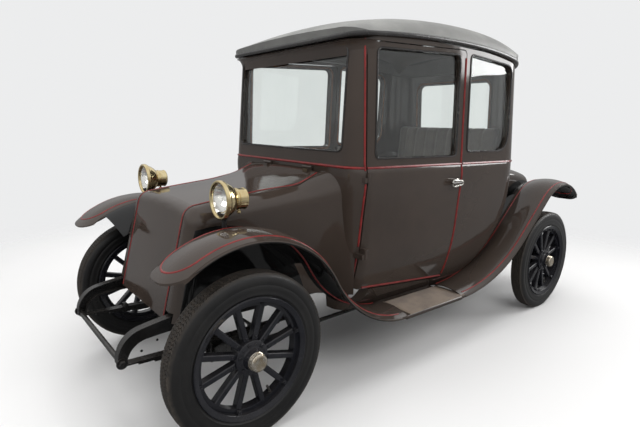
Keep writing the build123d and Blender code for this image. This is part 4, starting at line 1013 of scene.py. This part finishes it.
def roof_edge(inset):
    """The roof's outline from above, moved inward."""
    half, front, rear = ROOF_HALF - inset, ROOF_FRONT - inset, ROOF_REAR + inset
    front_r, rear_r = 0.100 - inset * 0.5, 0.250 - inset
    left = steps(0.0, half - front_r, 6)[:-1]
    plan = [(front, y) for y in left]
    plan += arc((front - front_r, half - front_r), front_r, 0, 90, 8)
    plan += [(x, half) for x in steps(front - front_r, rear + rear_r, 24)[1:-1]]
    plan += arc((rear + rear_r, half - rear_r), rear_r, 90, 180, 14)
    plan += [(rear, y) for y in steps(half - rear_r, 0.0, 5)[1:]]
    return plan + [(x, -y) for x, y in reversed(plan[1:-1])]


rim_line = []
for (x, y), (ix, iy) in zip(roof_edge(0), roof_edge(0.012)):
    under = laid(roof_skin, [((ix, iy, 1.6), (0, 0, 1))])
    rim_line.append(Vector((x, y, under[0].z + ROOF_RIM_HALF)))


def band(path, profile):
    """A closed moulding: a profile (outward, up) carried round a level path."""
    outline = bpy.data.curves.new("profile", "CURVE")
    outline.dimensions = "2D"
    spline = outline.splines.new("POLY")
    spline.points.add(len(profile) - 1)
    for point, (out, up) in zip(spline.points, profile):
        point.co = (out, up, 0, 1)
    spline.use_cyclic_u = True
    pattern = bpy.data.objects.new("profile", outline)
    rail = bpy.data.curves.new("rail", "CURVE")
    rail.dimensions = "3D"
    rail.twist_mode = "Z_UP"
    rail.bevel_mode = "OBJECT"
    rail.bevel_object = pattern
    spline = rail.splines.new("POLY")
    spline.points.add(len(path) - 1)
    for point, co in zip(spline.points, path):
        point.co = (*co, 1)
    spline.use_cyclic_u = True
    holder = bpy.data.objects.new("rail", rail)
    for made in (pattern, holder):
        bpy.context.scene.collection.objects.link(made)
    return from_curve(holder, pattern)


CORNICE_LOW, CORNICE_HIGH = 1.722, 1.792
CORNICE_OUT = 0.036
CORNICE_ROWS = 8
CORNER_RADIUS = 0.110


def joined_rows(bm, rows):
    """Faces between rows of points."""
    for first, second in zip(rows, rows[1:]):
        for a, b, c, d in zip(first, second, second[1:], first[1:]):
            bm.faces.new((a, b, c, d))


def cornice(way):
    """Half of the hollow moulding that spreads from the windscreen top to the roof lip."""
    front, side_y = cab_front(CORNICE_LOW), cab_width(CORNICE_LOW)
    middle = (front - CORNER_RADIUS, side_y - CORNER_RADIUS)
    path = [((front, y), (1, 0), 1.0) for y in steps(0.0, middle[1], 6)[:-1]]
    path += [((middle[0] + CORNER_RADIUS * cos(radians(a)),
               middle[1] + CORNER_RADIUS * sin(radians(a))),
              (cos(radians(a)), sin(radians(a))), 1 - (a / 90) ** 3) for a in steps(0, 90, 14)]
    bm = bmesh.new()
    rows = []
    for (x, y), (nx, ny), size in path:
        row = []
        for a in steps(0, 90, CORNICE_ROWS):
            out = -0.002 + (0.002 + CORNICE_OUT * size) * (1 - cos(radians(a)))
            z = CORNICE_LOW + (CORNICE_HIGH - CORNICE_LOW) * sin(radians(a))
            row.append(bm.verts.new((x + nx * out, way * (y + ny * out), z)))
        rows.append(row)
    joined_rows(bm, rows)
    bmesh.ops.recalc_face_normals(bm, faces=bm.faces)
    if sum(f.normal.x for f in bm.faces) < 0:
        bmesh.ops.reverse_faces(bm, faces=bm.faces)
    return bm


for side, way in SIDES:
    piece(f"cornice_{side}", cornice(way), "body", body_paint)

half_round = [(0.0075 * cos(radians(a)), 0.0115 * sin(radians(a))) for a in range(0, 360, 20)]
piece("roof_edge_moulding", band(rim_line, half_round), "body", bead_paint)


# Running boards
# Wooden boards painted like the body, each with a tan ribbed mat held at its ends by a narrow
# binding in the mat's finish.

dress(body_paint, "running_board_left", "running_board_right")


def mat_rubber():
    """Tan sheet rubber, its tone varied in soft patches."""
    material, tree, shader = new_material("tan board mat", (0.17, 0.135, 0.105), 0.6)
    place = object_place(tree)
    tone = cloudy(tree, place, 8.0, Detail=8.0)
    colour = mixed(tree, tone, (0.185, 0.145, 0.112, 1), (0.130, 0.102, 0.082, 1))
    tree.links.new(colour, shader.inputs["Base Color"])
    fine = node(tree, "ShaderNodeTexNoise", {"Vector": place, "Scale": 220.0, "Detail": 4.0})
    bumped(tree, shader, fine.outputs[0], 0.6, 0.0010)
    return material


mat_finish = mat_rubber()
MAT_X = (-0.180, 0.330)
MAT_Y = (0.520, 0.736)
for side, way in SIDES:
    mat = bmesh.new()
    slab(mat, (MAT_X[0], MAT_Y[0], BOARD_TOP - 0.002), (MAT_X[1], MAT_Y[1], BOARD_TOP + 0.003),
         0.0015)
    for index in range(26):
        y = MAT_Y[0] + 0.009 + index * 0.0079
        slab(mat, (MAT_X[0] + 0.012, y - 0.0026, BOARD_TOP + 0.001),
             (MAT_X[1] - 0.012, y + 0.0026, BOARD_TOP + 0.0052), 0.0012, 1)
    binding = bmesh.new()
    for x in MAT_X:
        slab(binding, (x - 0.006, MAT_Y[0], BOARD_TOP - 0.001),
             (x + 0.006, MAT_Y[1], BOARD_TOP + 0.0062), 0.002)
    for part in (mat, binding):
        bmesh.ops.scale(part, vec=(1, way, 1), verts=part.verts)
        bmesh.ops.recalc_face_normals(part, faces=part.faces)
    piece(f"board_mat_{side}", mat, "body", mat_finish)
    piece(f"mat_binding_{side}", binding, "body", mat_finish)


# Headlamps
# Spun brass drums on short posts, each with a rolled bezel, a silvered reflector,
# a small bulb and a clear lens, and a turn knob under the drum.

LAMP_CENTRE = Vector((1.370, 0.467, 1.040))
reflector = finish("silvered reflector", ((0.90, 0.90, 0.88), (0.84, 0.82, 0.78)), (0.06, 0.14),
                   patch=16.0, metallic=1.0)
lens_glass, lens_tree, lens_shader = new_material("lamp lens", (0.98, 0.98, 0.97), 0.0, IOR=1.45,
                                                  Transmission_Weight=1.0)
lens_place = object_place(lens_tree)
lens_waves = node(lens_tree, "ShaderNodeTexNoise", {"Vector": lens_place, "Scale": 30.0})
bumped(lens_tree, lens_shader, lens_waves.outputs[0], 0.2, 0.001)

DRUM_PROFILE = ((0.0795, -0.010), (0.0795, -0.024), (0.0770, -0.034), (0.0700, -0.050),
                (0.0600, -0.064), (0.0520, -0.071), (0.0500, -0.074), (0.0500, -0.078),
                (0.0470, -0.080), (0.0470, -0.086), (0.0495, -0.088), (0.0495, -0.092),
                (0.0470, -0.094), (0.0470, -0.122), (0.0490, -0.124), (0.0490, -0.128),
                (0.0440, -0.133), (0.0300, -0.1365), (0.0120, -0.1380), (0.0110, -0.1385),
                (0, -0.1385))
BEZEL_PROFILE = ((0.0790, -0.026), (0.0830, -0.026), (0.0850, -0.022), (0.0868, -0.020),
                 (0.0880, -0.016), (0.0880, -0.008), (0.0868, -0.003), (0.0840, -0.0005),
                 (0.0800, 0.0000), (0.0765, -0.0015), (0.0745, -0.0045), (0.0730, -0.0080),
                 (0.0725, -0.0120), (0.0740, -0.0200), (0.0790, -0.0260))
REFLECTOR_PROFILE = ((0.0742, -0.012), (0.0700, -0.024), (0.0600, -0.041), (0.0450, -0.055),
                     (0.0280, -0.064), (0.0120, -0.068), (0, -0.0685))
LENS_PROFILE = ((0.0738, -0.0100), (0.0600, -0.0065), (0.0400, -0.0035), (0.0200, -0.0020),
                (0, -0.0015), (0, -0.0045), (0.0200, -0.0050), (0.0400, -0.0065),
                (0.0600, -0.0095), (0.0738, -0.0130), (0.0738, -0.0100))
BULB_PROFILE = ((0.0060, -0.066), (0.0060, -0.052), (0.0095, -0.046), (0.0125, -0.038),
                (0.0115, -0.030), (0.0075, -0.0255), (0, -0.0240))
for side, way in SIDES:
    centre = Vector((LAMP_CENTRE.x, way * LAMP_CENTRE.y, LAMP_CENTRE.z))
    facing = aimed(centre, (1, 0, 0))
    shell = bmesh.new()
    turned(shell, DRUM_PROFILE, 56, facing)
    turned(shell, BEZEL_PROFILE, 64, facing)
    post = bmesh.new()
    turned(post, ((0.0110, 0.880), (0.0110, 0.950), (0.0150, 0.953), (0.0150, 0.962),
                  (0.0240, 0.968), (0.0300, 0.976), (0.0300, 0.984)), 28,
           Matrix.Translation((centre.x - 0.030, centre.y, 0)))
    piece(f"headlamp_post_{side}", post, "body", chassis_paint)
    knob = aimed((centre.x - 0.104, centre.y, centre.z - 0.044), (0, 0, -1))
    turned(shell, ((0.0050, -0.006), (0.0050, 0.008), (0.0095, 0.010), (0.0105, 0.015),
                   (0.0095, 0.021), (0.0055, 0.024), (0, 0.0245)), 20, knob)
    drum = piece(f"headlamp_shell_{side}", shell, "body", brass, 30)
    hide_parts(f"headlamp_{side}")
    bowl = bmesh.new()
    turned(bowl, REFLECTOR_PROFILE, 56, facing)
    bmesh.ops.solidify(bowl, geom=bowl.faces, thickness=-0.0008)
    piece(f"headlamp_reflector_{side}", bowl, "body", reflector)
    lens = bmesh.new()
    turned(lens, LENS_PROFILE, 56, facing)
    piece(f"headlamp_lens_{side}", lens, "body", lens_glass)
    bulb = bmesh.new()
    turned(bulb, BULB_PROFILE, 24, facing)
    piece(f"headlamp_bulb_{side}", bulb, "body", lens_glass)


# Door handles
# A nickel loop handle on a round plate near the rear edge of each door.

HANDLE_X, HANDLE_Z = -0.168, 1.052
nickel = finish("nickel plate", ((0.78, 0.77, 0.73), (0.66, 0.64, 0.58)), (0.07, 0.20),
                patch=30.0, metallic=1.0)
for side, way in SIDES:
    wall = laid(side_skin, [((HANDLE_X - 0.02, 1.0, HANDLE_Z - 0.03), from_left)])[0].y
    handle = bmesh.new()
    root = aimed((HANDLE_X, way * wall, HANDLE_Z), (0, way, 0))
    turned(handle, ((0.0240, -0.001), (0.0240, 0.003), (0.0220, 0.005), (0.0170, 0.006),
                    (0.0150, 0.009), (0.0110, 0.011), (0.0095, 0.014)), 28, root)
    piece(f"door_handle_plate_{side}", handle, f"door_{side}", nickel)
    loop = [Vector((HANDLE_X + u, way * 0.660, HANDLE_Z + v)) for u, v in loop_points(
        ((-0.020, -0.010, 0.008), (0.088, -0.022, 0.020), (0.088, 0.022, 0.020),
         (-0.020, 0.010, 0.008)))]
    piece(f"door_handle_loop_{side}", tube([loop], 0.0058, closed=True, sides=3), f"door_{side}",
          nickel)


# Seat, floor and tiller
# A full-width bench with a sprung cushion and a tall back in grey-brown wool cloth,
# a carpeted floor, and a lever tiller that swings across the driver's lap.

def weave_group():
    """Over-and-under threads of plain cloth, as a height between 0 and 1."""
    tree, given, out = new_group("plain weave", (
        ("Vector", "Vector", None), ("Threads", "Float", 900.0)), (("Height", "Float"),))
    scaled = node(tree, "ShaderNodeVectorMath", {0: given.outputs["Vector"],
                                                 3: given.outputs["Threads"]},
                  operation="SCALE")
    parts = node(tree, "ShaderNodeSeparateXYZ", {0: scaled.outputs[0]})
    waves = [reckon(tree, "SINE", parts.outputs[axis]) for axis in ("X", "Y", "Z")]
    total = reckon(tree, "ADD", reckon(tree, "MULTIPLY", *waves[:2]),
                   reckon(tree, "MULTIPLY", *waves[1:]))
    tree.links.new(reckon(tree, "MULTIPLY_ADD", total, 0.25, 0.5), out.inputs["Height"])
    return tree


WEAVE = weave_group()


def cloth(name, first, second, threads=900.0, depth=0.0006, sheen=0.4):
    """Woven cloth: threads in relief with painted shade darkening the low parts of the weave,
    colour varied over the piece, soft sheen.
    """
    material, tree, shader = new_material(name, first, 0.9, Sheen_Weight=sheen,
                                          Sheen_Roughness=0.5)
    place = object_place(tree)
    tone = cloudy(tree, place, 9.0, Detail=6.0)
    colour = mixed(tree, tone, (*first, 1), (*second, 1))
    threads_up = node(tree, "ShaderNodeGroup", {"Vector": place, "Threads": threads},
                      node_tree=WEAVE)
    # painted shade: the low parts of the weave are darkened
    shade = mixed(tree, threads_up.outputs[0], (0.72, 0.72, 0.72, 1), (1.0, 1.0, 1.0, 1))
    woven = node(tree, "ShaderNodeMix", {0: 1.0, 6: colour, 7: shade}, data_type="RGBA",
                 blend_type="MULTIPLY")
    tree.links.new(woven.outputs[2], shader.inputs["Base Color"])
    bumped(tree, shader, threads_up.outputs[0], 0.7, depth)
    return material


seat_cloth = cloth("seat cloth", (0.150, 0.128, 0.108), (0.115, 0.098, 0.083))
lining_cloth = cloth("lining cloth", (0.200, 0.178, 0.150), (0.165, 0.146, 0.124), 1100.0)
carpet = cloth("floor carpet", (0.060, 0.050, 0.043), (0.042, 0.035, 0.030), 420.0, 0.002, 0.2)
dress(wood, "seat_base")


def stuffed(name, low, high, body, swell, channels, across_axis, pull):
    """A sewn pad: a soft box puffed by air pressure, then drawn in along its seams."""
    bm = bmesh.new()
    slab(bm, low, high, 0.028, 4)
    made = new_object(name, bm, seat_cloth, 60)
    remesh = made.modifiers.new("even mesh", "REMESH")
    remesh.mode = "VOXEL"
    remesh.voxel_size = 0.008
    depsgraph = bpy.context.evaluated_depsgraph_get()
    made.data = bpy.data.meshes.new_from_object(made.evaluated_get(depsgraph))
    made.modifiers.clear()
    start = [v.co.copy() for v in made.data.vertices]
    air = made.modifiers.new("air", "CLOTH")
    air.settings.use_pressure = True
    air.settings.uniform_pressure_force = 4
    air.settings.quality = 4
    air.settings.effector_weights.gravity = 0
    air.settings.tension_stiffness = 12
    air.settings.compression_stiffness = 12
    scene = bpy.context.scene
    for index in range(1, 19):
        scene.frame_set(index)
    depsgraph = bpy.context.evaluated_depsgraph_get()
    puffed = bpy.data.meshes.new_from_object(made.evaluated_get(depsgraph))
    made.modifiers.clear()
    scene.frame_set(1)
    for v, old in zip(puffed.vertices, start):
        move = v.co - old
        if move.length > swell:
            v.co = old + move.normalized() * swell
    made.data = puffed
    normals = [v.normal.copy() for v in made.data.vertices]
    span = high[across_axis] - low[across_axis]
    for v, normal in zip(made.data.vertices, normals):
        part = (v.co[across_axis] - low[across_axis]) / span * channels
        near = abs(part - round(part))
        inside = 0.4 < part < channels - 0.4
        if inside and abs(normal[across_axis]) < 0.7:
            v.co -= normal * pull * max(0.0, 1 - near / 0.16) ** 1.5
    made.data.materials.clear()
    made.data.materials.append(seat_cloth)
    made.data.shade_smooth()
    smooth = made.modifiers.new("soft surface", "SUBSURF")
    smooth.levels = smooth.render_levels = 1
    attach(made, body)
    return made


cushion_low, cushion_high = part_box("seat_cushion")
cushion = stuffed("seat_cushion_padded", cushion_low + Vector((0.010, 0.008, 0.002)),
                  cushion_high - Vector((0.010, 0.008, 0.018)), "body", 0.018, 9, 1, 0.010)
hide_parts("seat_cushion")
back_low, back_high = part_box("seat_back")
back_pad = stuffed("seat_back_padded", Vector((-0.080, back_low.y + 0.008, back_low.z + 0.004)),
                   Vector((0.012, back_high.y - 0.008, back_high.z - 0.010)), "body", 0.014, 9, 1,
                   0.010)
for v in back_pad.data.vertices:
    rise = (v.co.z - back_low.z) / (back_high.z - back_low.z)
    v.co.x += -0.802 - 0.046 * rise - 0.012 * rise * (v.co.x > -0.04)
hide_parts("seat_back")

LINING_GAP, LINING_THICKNESS = 0.005, 0.004


def lining(name, surface, xs, zs, way, body):
    """A trimmed cloth panel that follows the inside of a wall, a little off it."""
    bm = bmesh.new()
    rows = []
    for z in steps(*zs, 14):
        row = []
        for x in steps(*xs, 14):
            hit, _, _, _ = surface.ray_cast(Vector((x, 0, z)), Vector((0, 1, 0)))
            row.append(bm.verts.new((x, way * (hit.y - LINING_GAP), z)))
        rows.append(row)
    joined_rows(bm, rows)
    bmesh.ops.recalc_face_normals(bm, faces=bm.faces)
    bmesh.ops.solidify(bm, geom=bm.faces, thickness=LINING_THICKNESS)
    piece(name, bm, body, lining_cloth)


quarter_skin, door_skin = skin("body_lower", "body_upper"), skin("door_left")
for side, way in SIDES:
    lining(f"door_lining_{side}", door_skin, (-0.180, 0.560), (0.585, 1.185), way,
           f"door_{side}")
    lining(f"quarter_lining_{side}", quarter_skin, (-0.700, -0.250), (0.640, 1.215), way,
           "body")

headlining = bmesh.new()
rows = []
for x in steps(-0.880, 0.600, 18):
    row = []
    for y in steps(-0.520, 0.520, 12):
        hit, _, _, _ = roof_skin.ray_cast(Vector((x, y, 1.70)), Vector((0, 0, 1)))
        row.append(headlining.verts.new((x, y, hit.z - 0.008)))
    rows.append(row)
joined_rows(headlining, rows)
bmesh.ops.solidify(headlining, geom=headlining.faces, thickness=LINING_THICKNESS)
bmesh.ops.recalc_face_normals(headlining, faces=headlining.faces)
headlining = piece("headlining", headlining, "body", lining_cloth)

RUG_X, RUG_HALF_WIDTH = (-0.340, 0.610), 0.470
RUG_BOTTOM, RUG_TOP = 0.5445, 0.5525
rug = bmesh.new()
slab(rug, (RUG_X[0], -RUG_HALF_WIDTH, RUG_BOTTOM), (RUG_X[1], RUG_HALF_WIDTH, RUG_TOP), 0.003)
piece("floor_carpet", rug, "body", carpet)

control_black = finish("hard rubber grip", ((0.012, 0.012, 0.012), (0.020, 0.019, 0.018)),
                       (0.30, 0.45), patch=40.0)
dress(nickel, "tiller", "tiller_column")
TILLER = Vector((-0.120, 0.470, 1.010))
grip = bmesh.new()
bar = aimed((TILLER.x - 0.020, 0.206, TILLER.z), (0, -1, 0))
turned(grip, ((0, -0.002), (0.0160, -0.002), (0.0185, 0.004), (0.0172, 0.012), (0.0172, 0.050),
              (0.0185, 0.070), (0.0185, 0.110), (0.0172, 0.130), (0.0172, 0.156),
              (0.0190, 0.164), (0.0170, 0.169), (0, 0.170)), 28, bar)
piece("tiller_grip", grip, "tiller", control_black)
